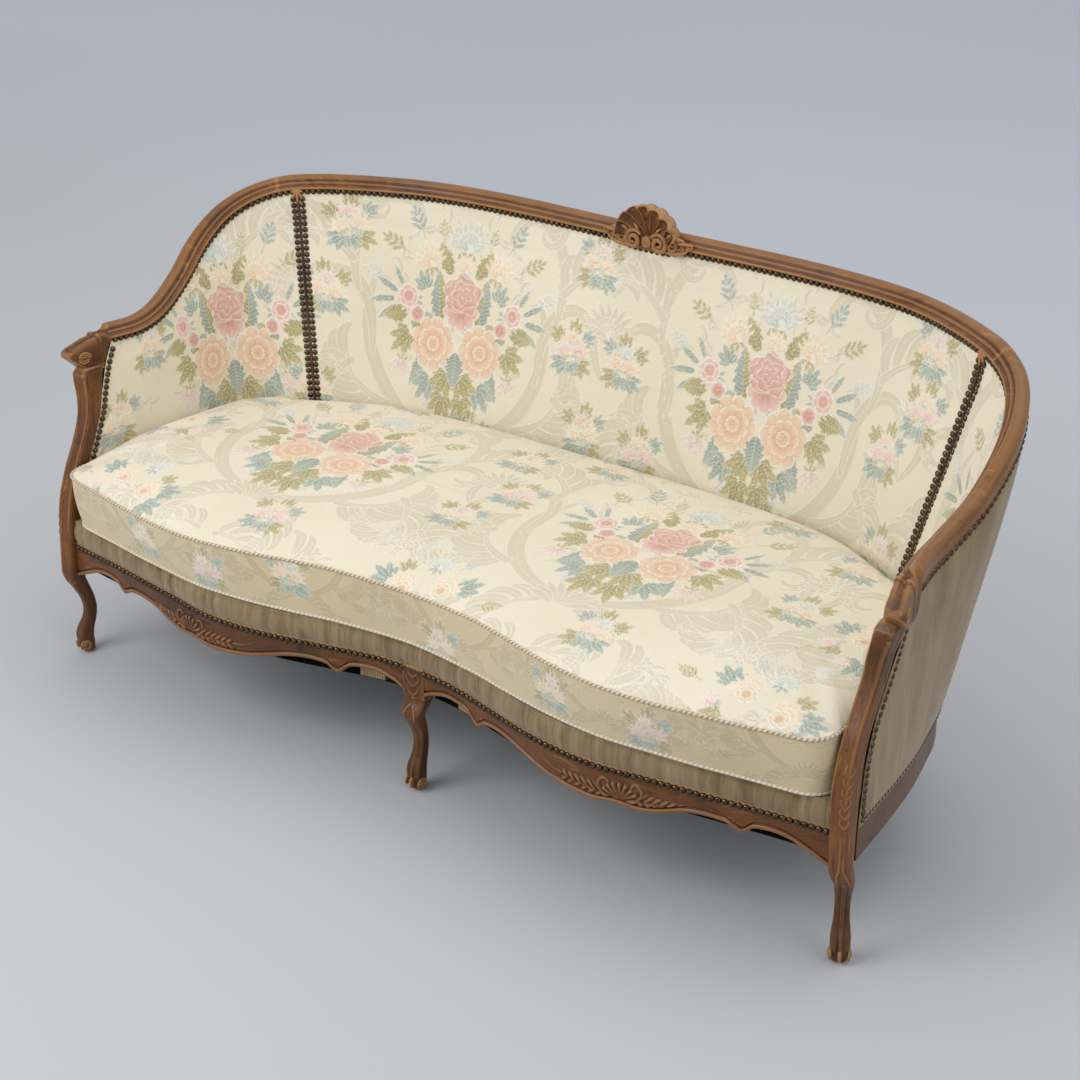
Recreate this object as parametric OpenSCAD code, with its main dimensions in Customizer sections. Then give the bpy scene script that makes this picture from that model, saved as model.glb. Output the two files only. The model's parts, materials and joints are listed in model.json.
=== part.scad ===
// Cabriole sofa: a show-wood frame whose top rail, arms and posts form one sweeping line,
// a serpentine seat front on scroll-footed cabriole legs, a nailed back and sides,
// and one loose boxed seat cushion.

/* [Back and arms] */
// Half the width of the back and arms, to the line where the cover meets the top rail
half_w = 875; // [820:5:930]
// Run from the line of the front feet back to the tacking line of the top rail
seat_run = 700; // [660:5:740]
// Height of the tacking line under the top rail
crest_z = 840; // [800:5:900]
// Height of the tacking line at the front end of the arm
arm_z = 626; // [600:5:660]
// How far the arm post bows forward of a straight line
post_bow = 22; // [0:1:30]
// How far the arm post bows inward between the seat and the arm
post_waist = 9; // [0:1:14]
// Station of the rear post along the wall, 0 at the middle of the back and 1 at the arm post
rear_post_share = 0.507; // [0.48:0.001:0.53]
// Station of the joint between the top rail and the arm
joint_share = 0.545; // [0.54:0.001:0.58]

/* [Arm ends] */
// Length of the carved block at the end of the arm
arm_end_len = 94; // [88:1:100]
// Height of the block
arm_end_h = 64; // [58:1:70]
// How far the block leans outward at its toe
arm_end_lean = 18; // [12:1:22]

/* [Top rail] */
// Depth of the moulded top rail, front to back
rail_d = 34; // [30:1:40]
// Rise of the top rail above the tacking line
rail_rise = 30; // [24:1:36]
// Depth of the hidden tongue below the tacking line
tongue_h = 16; // [12:1:24]

/* [Wall layers] */
// Seat of the padding's back, outward from the tacking line
pad_back = 6.6; // [5:0.1:7]
// Thickness of a pad at its edges
pad_edge_t = 4.6; // [3:0.1:5]
// Fullness of the back pad at its middle
back_crown = 17; // [8:1:24]
// Fullness of a side pad at its middle
side_crown = 12; // [6:1:13]
// Extra stuffing low in the back, where the cushion meets it
lumbar = 42; // [20:2:48]
// Thickness of the burlap behind the padding
burlap_t = 0.6; // [0.5:0.1:0.8]
// Thickness of the frame members inside the wall
frame_t = 19; // [16:0.5:21]
// Gap that thin wadding fills between the frame and the outer covers
wadding_t = 2; // [1.8:0.1:3]
// Thickness of an outer cover on its card
cover_t = 3; // [2:0.1:4]
// Fullness of an outer side cover at its middle
cover_crown = 12; // [4:1:16]
// Gap left between parts that lie face to face
fit_gap = 0.3; // [0.2:0.05:0.4]

/* [Frame members] */
// Height of the tacking rails above the seat
tack_rail_h = 34; // [28:1:44]
// Slot between the seat platform and the tacking rails, where the covers pass
pull_gap = 4; // [3:0.5:8]
// Width of the rear post inside the wall
upright_w = 30; // [26:1:36]
// Width of the rear post's block between the seat rails
joint_block_w = 40; // [36:1:46]
// Width of the strip of wood that shows between the back and side pads
strip_w = 5; // [4:0.5:7]
// How far that strip stands in front of the tacking line
strip_rise = 1; // [0.5:0.1:2]
// Setback of the seat rails' inner face from the foot of the wall
rail_setback = 2; // [1:0.5:3]
// Length of a corner block along the seat rails
corner_block_w = 46; // [36:1:60]

/* [Seat frame] */
// Height of the top of the seat rails
seat_z = 250; // [235:1:265]
// Height of the side and back seat rails
seat_rail_h = 60; // [50:1:66]
// Thickness of the side and back seat rails
seat_rail_t = 28; // [22:1:28]
// Thickness of the serpentine front rail
apron_t = 26; // [22:1:32]
// Greatest drop of the scalloped lower edge below the top of the front rail
apron_drop = 72; // [60:1:84]
// Height of the bead along the lower edge of the front rail
apron_bead = 5; // [4:0.5:7]
// Greatest forward bulge of the serpentine front, ahead of the line of the feet
front_bulge = 82; // [60:1:90]
// Width of the rail that runs from the middle leg to the back
cross_rail_w = 44; // [36:1:60]

/* [Legs and posts] */
// Width of the arm post
post_w = 34; // [32:1:40]
// Depth of the arm post where it meets the seat rail
post_d = 40; // [36:1:46]
// Height of the top of the arm post, under the arm's end block
post_z = 575; // [560:1:585]
// How far a front foot's middle stands inside the half width
foot_inset = 5; // [0:1:12]
// Width of a front leg at the knee
knee_w = 42; // [38:1:46]
// Forward reach of the knee beyond the foot
knee_reach = 20; // [10:1:26]
// Direction in which a corner leg faces, turned outward from straight ahead
leg_turn = 30; // [0:1:45]
// Radius of the rolled scroll on a foot
scroll_r = 10; // [8:0.5:12]
// Distance of a rear foot's middle from the middle of the sofa, as a share of the half width
rear_foot_share_x = 0.747; // [0.74:0.001:0.76]
// Run from the line of the front feet back to a rear foot, as a share of the seat's run
rear_foot_share_y = 0.893; // [0.87:0.001:0.92]
// Size of a rear leg at the floor
rear_foot_w = 26; // [22:1:32]
// Width of the middle leg's block between the two front rails
centre_block_w = 50; // [44:1:56]
// How far that block stands out around the ends of the front rails
block_proud = 4; // [2:0.5:6]
// Reach of the middle foot ahead of the line of the other front feet
centre_foot_reach = 5; // [0:1:20]
// Radius of the steel glide under each foot
glide_r = 8; // [6:0.5:9]
// Thickness of the glide
glide_t = 3; // [2:0.5:4]

/* [Carved shell] */
// Radius of the shell from its eye to its edge
shell_r = 66; // [56:1:74]
// Height of the eye of the shell above the tacking line
shell_eye_rise = 14; // [8:1:20]
// How far the shell's edge curls forward of the tacking line
shell_curl = 15; // [10:1:20]
// Number of ribs in the shell
shell_ribs = 7; // [5:2:9]
// Depth of a rib
shell_rib_depth = 2.5; // [1.5:0.5:4]
// Angle from the shell's middle rib to its outermost edge
shell_spread = 100; // [90:5:105]

/* [Upholstery] */
// Thickness of the seat platform above the rails
deck_h = 48; // [40:1:56]
// Height of the boxed border of the seat cushion
cushion_h = 110; // [96:1:124]
// Rise of the cushion's crown above its top seam
cushion_crown = 46; // [30:1:56]
// Reach of the cushion's top seam ahead of the line of the feet
cushion_reach = 103; // [90:1:110]
// Clearance round the cushion beside the pads
cushion_gap = 15; // [14:0.5:18]
// Clearance between the cushion and the arm posts
cushion_post_gap = 2.5; // [2:0.5:5]
// Width of the firm roll along the front of the seat platform
deck_roll_w = 40; // [30:2:60]
// Thickness of the dust cover under the seat
dust_t = 1; // [0.5:0.1:1.5]

/* [Springs and webbing] */
// Width of a jute webbing band
band_w = 50; // [40:2:60]
// Thickness of a webbing band
band_t = 1.8; // [1.5:0.1:2.2]
// Height of the ends of the bands turned up behind the front rail
band_tab_h = 40; // [34:2:50]
// Radius of a seat spring at its ends
spring_r = 38; // [30:1:42]
// Thickness of the spring's wire
spring_wire = 3.4; // [3:0.2:4]
// Spacing of the springs from side to side, as a share of the half width
spring_share_x = 0.25; // [0.22:0.005:0.255]
// Spacing of the springs from front to back, as a share of the seat's run
spring_share_y = 0.24; // [0.22:0.005:0.25]

/* [Hidden] */

// The middle of the sofa's depth is the origin, so the feet stand ahead of it
feet_y = -(seat_run + rail_d - cushion_reach) / 2;
foot_x = half_w - foot_inset;
rear_foot = [half_w * rear_foot_share_x, feet_y + seat_run * rear_foot_share_y, 0];
burlap_gap = 1.7 * fit_gap;
burlap_in = pad_back + burlap_gap;
frame_in = burlap_in + burlap_t + burlap_gap;
frame_out = frame_in + frame_t;
cover_in = frame_out + wadding_t;
post_half = upright_w / 2;
strip_half = strip_w / 2;
block_half = joint_block_w / 2;
seat_in = rail_setback;
deck_top = seat_z + fit_gap + deck_h;
tack_z = deck_top + pull_gap;
rails_z = seat_z - seat_rail_h;
web_z = rails_z - fit_gap;
dust_z = web_z - 2 * band_t - fit_gap - dust_t;
pad_z = deck_top + fit_gap;
pad_top_gap = 4 * fit_gap;
burlap_z = pad_z + 2 * fit_gap;
burlap_top_gap = 22 * fit_gap;
cover_top_gap = 9 * fit_gap;
pad_face = pad_back - pad_edge_t;
back_cols = 26;
side_cols = 20;
step_share = 0.01;

wood = [0.42, 0.25, 0.14];
silk = [0.86, 0.80, 0.66];
velvet = [0.62, 0.56, 0.43];
jute = [0.66, 0.54, 0.36];
steel = [0.6, 0.6, 0.62];
cambric = [0.12, 0.12, 0.12];
burlap = [0.62, 0.5, 0.33];

// The tacking line, from the middle of the back to the arm's end:
// shares of the half width, of the seat's run, and of the rise from arm to top rail
top_shares = [[0, 1, 0.99], [0.171, 1, 0.995], [0.343, 0.997, 1], [0.491, 0.989, 0.995],
    [0.611, 0.969, 0.988], [0.697, 0.931, 0.99], [0.768, 0.88, 1], [0.834, 0.826, 1.003],
    [0.897, 0.775, 0.978], [0.951, 0.719, 0.888], [0.985, 0.651, 0.745], [0.999, 0.574, 0.533],
    [0.993, 0.479, 0.266], [0.978, 0.371, 0.084], [0.975, 0.276, 0.009], [0.99, 0.179, 0]];
// The foot of the wall on the seat rail, at the same stations
base_shares = [[0, 0.897], [0.171, 0.896], [0.331, 0.891], [0.474, 0.874], [0.577, 0.849],
    [0.64, 0.823], [0.695, 0.789], [0.741, 0.758], [0.792, 0.717], [0.84, 0.669],
    [0.874, 0.614], [0.898, 0.55], [0.917, 0.464], [0.942, 0.336], [0.96, 0.19], [0.978, 0]];
// The serpentine front, from the middle to the arm post: shares of the half width and the bulge
front_shares = [[0, 0.14], [0.057, 0.18], [0.114, 0.27], [0.229, 0.56], [0.343, 0.86],
    [0.429, 0.98], [0.48, 1], [0.531, 0.97], [0.6, 0.84], [0.686, 0.7], [0.8, 0.52],
    [0.914, 0.36], [0.99, 0.27]];
// The scalloped lower edge, from the middle leg to the arm post: shares of the length and drop
edge_shares = [[0, 0.72], [0.018, 0.62], [0.055, 0.49], [0.1, 0.46], [0.135, 0.53],
    [0.16, 0.74], [0.168, 0.74], [0.188, 0.58], [0.225, 0.53], [0.275, 0.57], [0.335, 0.73],
    [0.385, 0.88], [0.44, 0.96], [0.495, 1], [0.545, 0.94], [0.605, 0.98], [0.648, 0.87],
    [0.692, 0.69], [0.735, 0.62], [0.785, 0.64], [0.812, 0.78], [0.82, 0.77], [0.84, 0.59],
    [0.88, 0.54], [0.92, 0.61], [0.96, 0.8], [1, 1]];
// The seat cushion's top seam along the front: shares of the half width and of its reach
cushion_top_shares = [[0, 0.32], [0.171, 0.41], [0.266, 0.58], [0.38, 0.83], [0.491, 0.98],
    [0.56, 1], [0.64, 0.95], [0.72, 0.83], [0.8, 0.71], [0.88, 0.56], [0.926, 0.48],
    [0.951, 0.34], [0.965, 0.08]];
// The lower seam lies further back
cushion_low_shares = [[0, 0.2], [0.171, 0.35], [0.266, 0.52], [0.38, 0.7], [0.491, 0.79],
    [0.56, 0.77], [0.64, 0.69], [0.72, 0.61], [0.8, 0.5], [0.88, 0.4], [0.924, 0.34],
    [0.948, 0.2], [0.962, 0]];
// The moulded section of the top rail: shares of its depth and rise
mould_shares = [[-0.06, 0.01], [-0.13, 0.12], [-0.1, 0.3], [0.01, 0.36], [0.07, 0.43],
    [0.13, 0.58], [0.28, 0.68], [0.38, 0.88], [0.6, 1], [0.85, 0.92], [1, 0.66], [1, 0.25],
    [0.98, -0.05]];
// A leg from floor to seat rail: shares of its height, of the knee's reach and of its width
leg_shares = [[0, 0.1, 0.6], [0.07, 0.2, 0.72], [0.14, 0.3, 0.8], [0.21, 0.15, 0.76],
    [0.29, -0.25, 0.64], [0.39, -0.45, 0.6], [0.5, -0.2, 0.66], [0.6, 0.3, 0.78],
    [0.7, 0.75, 0.92], [0.78, 0.95, 1]];
// The arm post above the seat rail: shares of its height, width and depth
post_shares = [[0, 1, 1], [0.15, 0.98, 1], [0.3, 0.95, 0.98], [0.45, 0.92, 0.92],
    [0.6, 0.9, 0.85], [0.75, 0.9, 0.84], [0.88, 0.94, 0.9], [1, 1, 1]];
// The front line of the wall between the seat rail and the arm: shares of its height and bow
post_line_shares = [[0, 0], [0.12, 0.47], [0.26, 0.91], [0.4, 1], [0.53, 0.7], [0.65, 0.44],
    [0.76, 0.5], [0.88, 0.42], [1, 0]];
// The arm's end block from its rear to its nose: shares of its length, the height of its
// underside, the height of its top, its outward lean and its width
block_shares = [[0, 0.6, 1, 0, 0.96], [0.12, 0.1, 1.06, 0.06, 1], [0.24, 0, 1.08, 0.14, 1.02],
    [0.27, 0, 1.1, 0.16, 1.1], [0.31, 0, 1.1, 0.2, 1.1], [0.34, 0, 1.02, 0.24, 1.02],
    [0.5, 0, 0.98, 0.46, 1.04], [0.62, 0, 0.93, 0.66, 1.08], [0.76, 0.05, 0.86, 0.85, 1.1],
    [0.88, 0.3, 0.79, 1, 1.08], [0.96, 0.46, 0.73, 1, 0.98], [1, 0.54, 0.65, 1, 0.8]];
// A section of the end block, in the order of the top rail's section
block_ring_shares = [[0, 0.35], [0, 0.55], [0, 0.78], [0.05, 0.92], [0.14, 0.99], [0.27, 1],
    [0.4, 0.96], [0.5, 0.88], [0.6, 0.96], [0.73, 1], [0.9, 0.95], [1, 0.78], [1, 0.45],
    [1, 0.2], [0.97, 0], [0.03, 0], [0, 0.15]];

function mix(a, b, t) = a + (b - a) * t;
function smooth(t) = let (c = max(0, min(1, t))) c * c * (3 - 2 * c);
function reverse(list) = [for (i = [len(list) - 1 : -1 : 0]) list[i]];

// Point at share t along a smooth curve through a list of points
function spline(pts, t) =
    let (n = len(pts) - 1, k = max(0, min(n - 1, floor(t * n))), u = t * n - k,
         a = pts[max(0, k - 1)], b = pts[k], c = pts[k + 1], d = pts[min(n, k + 2)])
    (2 * b + (c - a) * u + (2 * a - 5 * b + 4 * c - d) * u * u
        + (3 * b - a - 3 * c + d) * u * u * u) / 2;

// Value of a table's column at x, where column 0 rises
function lookup_at(table, x, col) =
    let (n = len(table) - 1,
         k = max([for (i = [0 : n - 1]) table[i][0] <= x ? i : 0]),
         t = (x - table[k][0]) / (table[k + 1][0] - table[k][0]),
         a = table[max(0, k - 1)][col], b = table[k][col], c = table[k + 1][col],
         d = table[min(n, k + 2)][col])
    (2 * b + (c - a) * t + (2 * a - 5 * b + 4 * c - d) * t * t
        + (3 * b - a - 3 * c + d) * t * t * t) / 2;

// The tacking line and the foot of the wall
function top_point(s) = let (p = spline(top_shares, s))
    [p[0] * half_w, feet_y + p[1] * seat_run, arm_z + p[2] * (crest_z - arm_z)];
function base_point(s) = let (p = spline(base_shares, s))
    [p[0] * half_w, feet_y + p[1] * seat_run, seat_z];
function wall_mid(s, h) =
    let (a = abs(s), p = mix(base_point(a), top_point(a), h),
         near = smooth((a - rear_post_share) / (1 - rear_post_share)),
         c = max(0, min(1, h)), bow = post_bow * near * lookup_at(post_line_shares, c, 1),
         waist = post_waist * near * sin(180 * c))
    [sign(s) * (p[0] - waist), p[1] - bow, p[2]];
function wall_run(s, h) = wall_mid(s + step_share, h) - wall_mid(s - step_share, h);
function wall_normal(s, h) = let (d = wall_run(s, h)) [-d[1], d[0], 0] / norm([d[0], d[1]]);
// Point of the wall at station s, height share h and distance n outward
function wall(s, h, n) = wall_mid(s, h) + n * wall_normal(s, h);
function height_share(s, z) = (z - seat_z) / (top_point(abs(s))[2] - seat_z);
function wall_at(s, z, n) = wall(s, height_share(s, z), n);
// Station that lies d further along the wall than s
function along(s, h, d) = s + 2 * step_share * d / norm(wall_run(s, h));
// Point of the top rail's section, n outward and v above the tacking line
function rail_point(s, n, v) =
    let (t = wall_run(s, 1), t1 = t / norm(t), q = wall_normal(s, 1), up = cross(t1, q))
    wall_mid(s, 1) + n * q + v * up;
function front_y(x) = feet_y - front_bulge * lookup_at(front_shares, min(abs(x) / half_w, 0.99), 1);

// Skin over closed rings of points, with a fan at each end
module loft(rings) {
    n = len(rings[0]);
    m = len(rings);
    middle = [for (k = [0, m - 1]) [for (p = rings[k]) 1] * rings[k] / n];
    points = concat([for (r = rings) each r], middle);
    sides = [for (i = [0 : m - 2]) for (j = [0 : n - 1])
        let (a = i * n + j, b = i * n + (j + 1) % n) each [[a, b, b + n], [a, b + n, a + n]]];
    ends = [for (j = [0 : n - 1]) let (e = (m - 1) * n)
        each [[m * n, (j + 1) % n, j], [m * n + 1, e + j, e + (j + 1) % n]]];
    polyhedron(points, concat(sides, ends));
}

// Skin over rings that run along one face of a sheet and back along the other.
// Both faces are cut alike, and each end is a strip between them.
module sheet_loft(rings) {
    n = len(rings[0]);
    m = len(rings);
    half = n / 2;
    sides = [for (i = [0 : m - 2]) for (j = [0 : n - 1])
        let (a = i * n + j, b = i * n + (j + 1) % n)
        each j < half ? [[a, b, b + n], [a, b + n, a + n]] : [[a, b, a + n], [b, b + n, a + n]]];
    ends = [for (j = [0 : half - 2]) let (e = (m - 1) * n, k = n - 1 - j)
        each [[j + 1, j, k], [j + 1, k, k - 1], [e + j, e + j + 1, e + k - 1], [e + j, e + k - 1, e + k]]];
    polyhedron([for (r = rings) each r], concat(sides, ends));
}

// Both sides of the sofa are alike
module on_side(side) {
    if (side > 0) children();
    else mirror([1, 0, 0]) children();
}

// Closed section of the top rail, with its hidden tongue down inside the wall
function rail_ring(s, grow = 0) =
    let (tongue = 1 - tongue_h / (top_point(abs(s))[2] - seat_z))
    concat([for (p = mould_shares) rail_point(s, p[0] * rail_d, p[1] * rail_rise + grow)],
        [rail_point(s, frame_out, -0.05 * rail_rise), wall(s, tongue, frame_out),
         wall(s, tongue, frame_in), rail_point(s, frame_in, 0)]);

module crest_rail() {
    color(wood) loft([for (i = [-20 : 20]) rail_ring(i / 20 * joint_share)]);
}

// Ring of the arm's end block at share t of its length
function block_ring(t) =
    let (start = wall_mid(1, 1), low = lookup_at(block_shares, t, 1) * arm_end_h,
         high = lookup_at(block_shares, t, 2) * arm_end_h,
         w = post_w * lookup_at(block_shares, t, 4), base = post_z + fit_gap,
         x0 = start[0] + (post_w - w) / 2 + arm_end_lean * lookup_at(block_shares, t, 3))
    [for (p = block_ring_shares)
        [x0 + p[0] * w, start[1] - t * arm_end_len, mix(base + low, base + high, p[1])]];

module arm_rail(side) {
    rail = [for (i = [0 : 24]) rail_ring(mix(joint_share, 0.999, i / 24))];
    block = [for (t = [0.12, 0.2, 0.24, 0.27, 0.31, 0.34, 0.42, 0.54, 0.66, 0.76, 0.88, 0.96, 0.999])
        block_ring(t)];
    color(wood) on_side(side) loft(concat(rail, block));
}

// Rounded rectangular ring, w wide and d deep, turned by an angle about its middle
function oval_ring(c, w, d, turn) =
    [for (i = [0 : 15]) let (a = -360 / 16 * i, cx = cos(a), cy = sin(a),
        k = 1 / pow(pow(abs(cx), 3) + pow(abs(cy), 3), 1 / 3),
        x = k * cx * w / 2, y = k * cy * d / 2)
        c + [x * cos(turn) - y * sin(turn), x * sin(turn) + y * cos(turn), 0]];

// Middle of the arm post at height z above the seat rail
function post_mid(z, d) =
    let (p = wall_at(1, z, 0)) [p[0] + post_w / 2, p[1] - fit_gap - d / 2, z];

module front_post(side) {
    leg_h = rails_z - glide_t;
    foot = [foot_x, feet_y, 0];
    top = post_mid(seat_z, post_d);
    leg = [for (i = [0 : 16]) let (z = 0.78 * i / 16, reach = knee_reach * lookup_at(leg_shares, z, 1),
        w = knee_w * lookup_at(leg_shares, z, 2), blend = smooth((z - 0.6) / 0.18),
        p = foot + reach * [sin(leg_turn), -cos(leg_turn), 0], zz = glide_t + leg_h * z / 0.78)
        oval_ring([mix(p[0], top[0], blend), mix(p[1], top[1], blend), zz],
            mix(w, post_w, blend), mix(w, post_d - fit_gap, blend), mix(leg_turn, 0, blend))];
    post = [for (i = [0 : 14]) let (t = i / 14, z = mix(seat_z, post_z, t),
        w = post_w * lookup_at(post_shares, min(t, 0.999), 1),
        d = post_d * lookup_at(post_shares, min(t, 0.999), 2))
        oval_ring(post_mid(z, d), w, d, 0)];
    color(wood) on_side(side) union() {
        loft(concat(leg, post));
        foot_scroll(foot + [0, 0, glide_t + 0.17 * leg_h], leg_turn);
    }
}

// Roll across the toe of a foot that faces the given way
module foot_scroll(at, turn) {
    roll_w = 3.4 * scroll_r;
    translate(at) rotate([0, 0, turn]) translate([-roll_w / 2, -0.9 * scroll_r, 0]) rotate([0, 90, 0])
        cylinder(h = roll_w, r = scroll_r, $fn = 24);
}

module centre_leg() {
    leg_h = rails_z - glide_t;
    block_w = centre_block_w - 2 * fit_gap;
    block_d = apron_t + 2 * block_proud;
    block_y = front_y(0) + apron_t / 2;
    foot_y = feet_y - centre_foot_reach;
    leg = [for (i = [0 : 16]) let (z = 0.78 * i / 16, reach = knee_reach * lookup_at(leg_shares, z, 1),
        w = knee_w * lookup_at(leg_shares, z, 2) * 0.92, blend = smooth((z - 0.6) / 0.18))
        oval_ring([0, mix(foot_y - reach, block_y, blend), glide_t + leg_h * z / 0.78],
            mix(w, block_w, blend), mix(w, block_d, blend), 0)];
    color(wood) union() {
        loft(leg);
        translate([-block_w / 2, block_y - block_d / 2, rails_z - block_proud])
            cube([block_w, block_d, seat_rail_h + block_proud]);
        foot_scroll([0, foot_y, glide_t + 0.17 * leg_h], 0);
    }
}

// Depth of the extra stuffing at height share h of the wall: none at the top, full low down
lumbar_high = 0.9;
lumbar_low = 0.32;
function lumbar_at(h) = lumbar * max(0, min(1, (lumbar_high - h) / (lumbar_high - lumbar_low)));
// How much of it is left at share u of the way from a rear post to the arm
lumbar_fade = 0.52;
function lumbar_share(u) = 1 - smooth(u / lumbar_fade);
// Height share at share w of the way up a pad
function pad_share(w) = mix(height_share(rear_post_share, pad_z), 1, w);

// Section of the rear post: a flat upright with a narrow bead that shows between two pads
function upright_ring(z) =
    let (h = height_share(rear_post_share, z), s = rear_post_share, n1 = frame_in, n2 = frame_out,
         shows = z > tack_z, bead = shows ? -strip_rise - lumbar_at(h) : frame_in,
         foot = shows ? strip_half : 0.55 * strip_w,
         at = function(d, n) let (p = wall(along(s, h, d), h, n)) [p[0], p[1], z])
    [at(-post_half, n1), at(-foot, n1), at(-strip_half, bead), at(strip_half, bead),
     at(foot, n1), at(post_half, n1), at(post_half, n2), at(-post_half, n2)];

function seat_block_ring(z) =
    let (s = rear_post_share, n1 = seat_in, n2 = seat_in + seat_rail_t,
         at = function(d, n) let (p = wall(along(s, 0, d), 0, n)) [p[0], p[1], z])
    [at(-block_half, n1), at(-strip_w, n1), at(-strip_half, n1), at(strip_half, n1),
     at(strip_w, n1), at(block_half, n1), at(block_half, n2), at(-block_half, n2)];

// Square ring of a rear leg, turned to face with the rear corner
function rear_leg_ring(c, w) =
    let (q = wall_normal(rear_post_share, 0), t = [q[1], -q[0], 0], a = w / 2)
    [for (p = [[-1, -1], [-0.5, -1], [-0.2, -1], [0.2, -1], [0.5, -1], [1, -1], [1, 1], [-1, 1]])
        c + p[0] * a * t + p[1] * a * q];

module rear_post(side) {
    block_mid = wall(rear_post_share, 0, seat_in + seat_rail_t / 2);
    leg = [for (i = [0 : 8]) let (t = i / 8, lean = pow(1 - t, 1.6))
        rear_leg_ring([mix(block_mid[0], rear_foot[0], lean), mix(block_mid[1], rear_foot[1], lean),
            mix(glide_t, rails_z - seat_rail_t / 4, t)], mix(rear_foot_w, seat_rail_t, t))];
    block = [seat_block_ring(rails_z), seat_block_ring(seat_z - strip_rise)];
    rise = [seat_z, tack_z - strip_rise, tack_z + strip_rise];
    head_z = top_point(rear_post_share)[2] - tongue_h - post_half;
    upright = [for (i = [1 : 10]) upright_ring(mix(tack_z + strip_rise, head_z, i / 10))];
    at = function(d, n) let (s = along(rear_post_share, 1, d),
        drop = (tongue_h + fit_gap) / (top_point(s)[2] - seat_z)) wall(s, 1 - drop, n);
    head = [at(-post_half, frame_in), at(-strip_half, frame_in), at(-strip_half, -strip_rise),
        at(strip_half, -strip_rise), at(strip_half, frame_in), at(post_half, frame_in),
        at(post_half, frame_out), at(-post_half, frame_out)];
    rings = concat(leg, block, [for (z = rise) upright_ring(z)], upright, [head]);
    color(wood) on_side(side) loft([for (r = rings) reverse(r)]);
}

// Section of the front rail at x: a plain back, a face with a bead along its lower edge
function apron_ring(x, t) =
    let (y = front_y(x), low = seat_z - apron_drop * lookup_at(edge_shares, t, 1), b = apron_bead)
    [[x, y + apron_t, low + b], [x, y + apron_t, seat_z], [x, y + 0.2 * b, seat_z],
     [x, y, seat_z - 0.4 * b], [x, y, seat_z - b], [x, y + 0.2 * b, low + 3 * b],
     [x, y + 0.4 * b, low + 2 * b], [x, y - 0.2 * b, low + 1.6 * b], [x, y - 0.4 * b, low + b],
     [x, y - 0.2 * b, low + 0.4 * b], [x, y + 0.4 * b, low], [x, y + apron_t - b, low]];

module front_rail(side) {
    x0 = centre_block_w / 2;
    x1 = base_point(1)[0] - fit_gap;
    color(wood) on_side(side)
        loft([for (i = [0 : 50]) let (t = min(i / 50, 0.9999)) reverse(apron_ring(mix(x0, x1, t), t))]);
}

// Plan of a stretch of the wall's foot between two stations and two distances outward
function strip_plan(s0, s1, n0, n1, steps) = concat(
    [for (i = [0 : steps]) let (p = wall(mix(s0, s1, i / steps), 0, n0)) [p[0], p[1]]],
    [for (i = [steps : -1 : 0]) let (p = wall(mix(s0, s1, i / steps), 0, n1)) [p[0], p[1]]]);

module side_rail(side) {
    s0 = along(rear_post_share, 0, block_half + fit_gap);
    color(wood) on_side(side) translate([0, 0, rails_z])
        linear_extrude(seat_rail_h) polygon(strip_plan(s0, 1, seat_in, seat_in + seat_rail_t, 16));
}

module back_rail() {
    s0 = along(rear_post_share, 0, -block_half - fit_gap);
    color(wood) translate([0, 0, rails_z])
        linear_extrude(seat_rail_h) polygon(strip_plan(-s0, s0, seat_in, seat_in + seat_rail_t, 24));
}

module cross_rail() {
    y0 = front_y(0) + apron_t + block_proud + fit_gap;
    y1 = base_point(0)[1] + seat_in - fit_gap;
    rail_h = seat_rail_h / 2;
    color(wood) translate([-cross_rail_w / 2, y0, rails_z + rail_h])
        cube([cross_rail_w, y1 - y0, rail_h]);
}

// Glued blocks in the four corners of the seat frame
module corner_blocks() {
    h = seat_rail_h * 0.6;
    in = seat_in - 2 * fit_gap;
    corner = wall(0.985, 0, in);
    far = wall(along(0.985, 0, -2 * corner_block_w), 0, in);
    x1 = corner[0] - corner_block_w;
    front = max(front_y(corner[0]), front_y(x1)) + apron_t + 2 * fit_gap;
    a = wall(along(rear_post_share, 0, -block_half - corner_block_w), 0, in);
    b = wall(rear_post_share, 0, in);
    c = wall(along(rear_post_share, 0, block_half + corner_block_w), 0, in);
    color(wood) for (side = [-1, 1]) on_side(side) translate([0, 0, rails_z + h / 2]) {
        linear_extrude(h) polygon([[corner[0], front], [x1, front], [far[0], far[1]]]);
        linear_extrude(h) polygon([[a[0], a[1]], [b[0], b[1]], [c[0], c[1]]]);
    }
}

// Flat frame member inside the wall, between two stations
module wall_bar(s0, s1, z0, z1, n0, n1, steps) {
    loft([for (i = [0 : steps]) let (s = mix(s0, s1, i / steps))
        [wall_at(s, z0, n0), wall_at(s, z1, n0), wall_at(s, z1, n1), wall_at(s, z0, n1)]]);
}

function post_edge(z, d) = along(rear_post_share, height_share(rear_post_share, z), d);

module back_tack_rail() {
    e = post_edge(tack_z, -post_half - fit_gap);
    color(wood) wall_bar(-e, e, tack_z, tack_z + tack_rail_h, frame_in, frame_out, back_cols);
}

module side_tack_rail(side) {
    s0 = post_edge(tack_z, post_half + 5 * fit_gap);
    s1 = arm_edge(height_share(1, tack_z));
    color(wood) on_side(side)
        wall_bar(s0, s1, tack_z, tack_z + tack_rail_h, frame_in + 2 * fit_gap, frame_out, side_cols);
}

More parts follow.
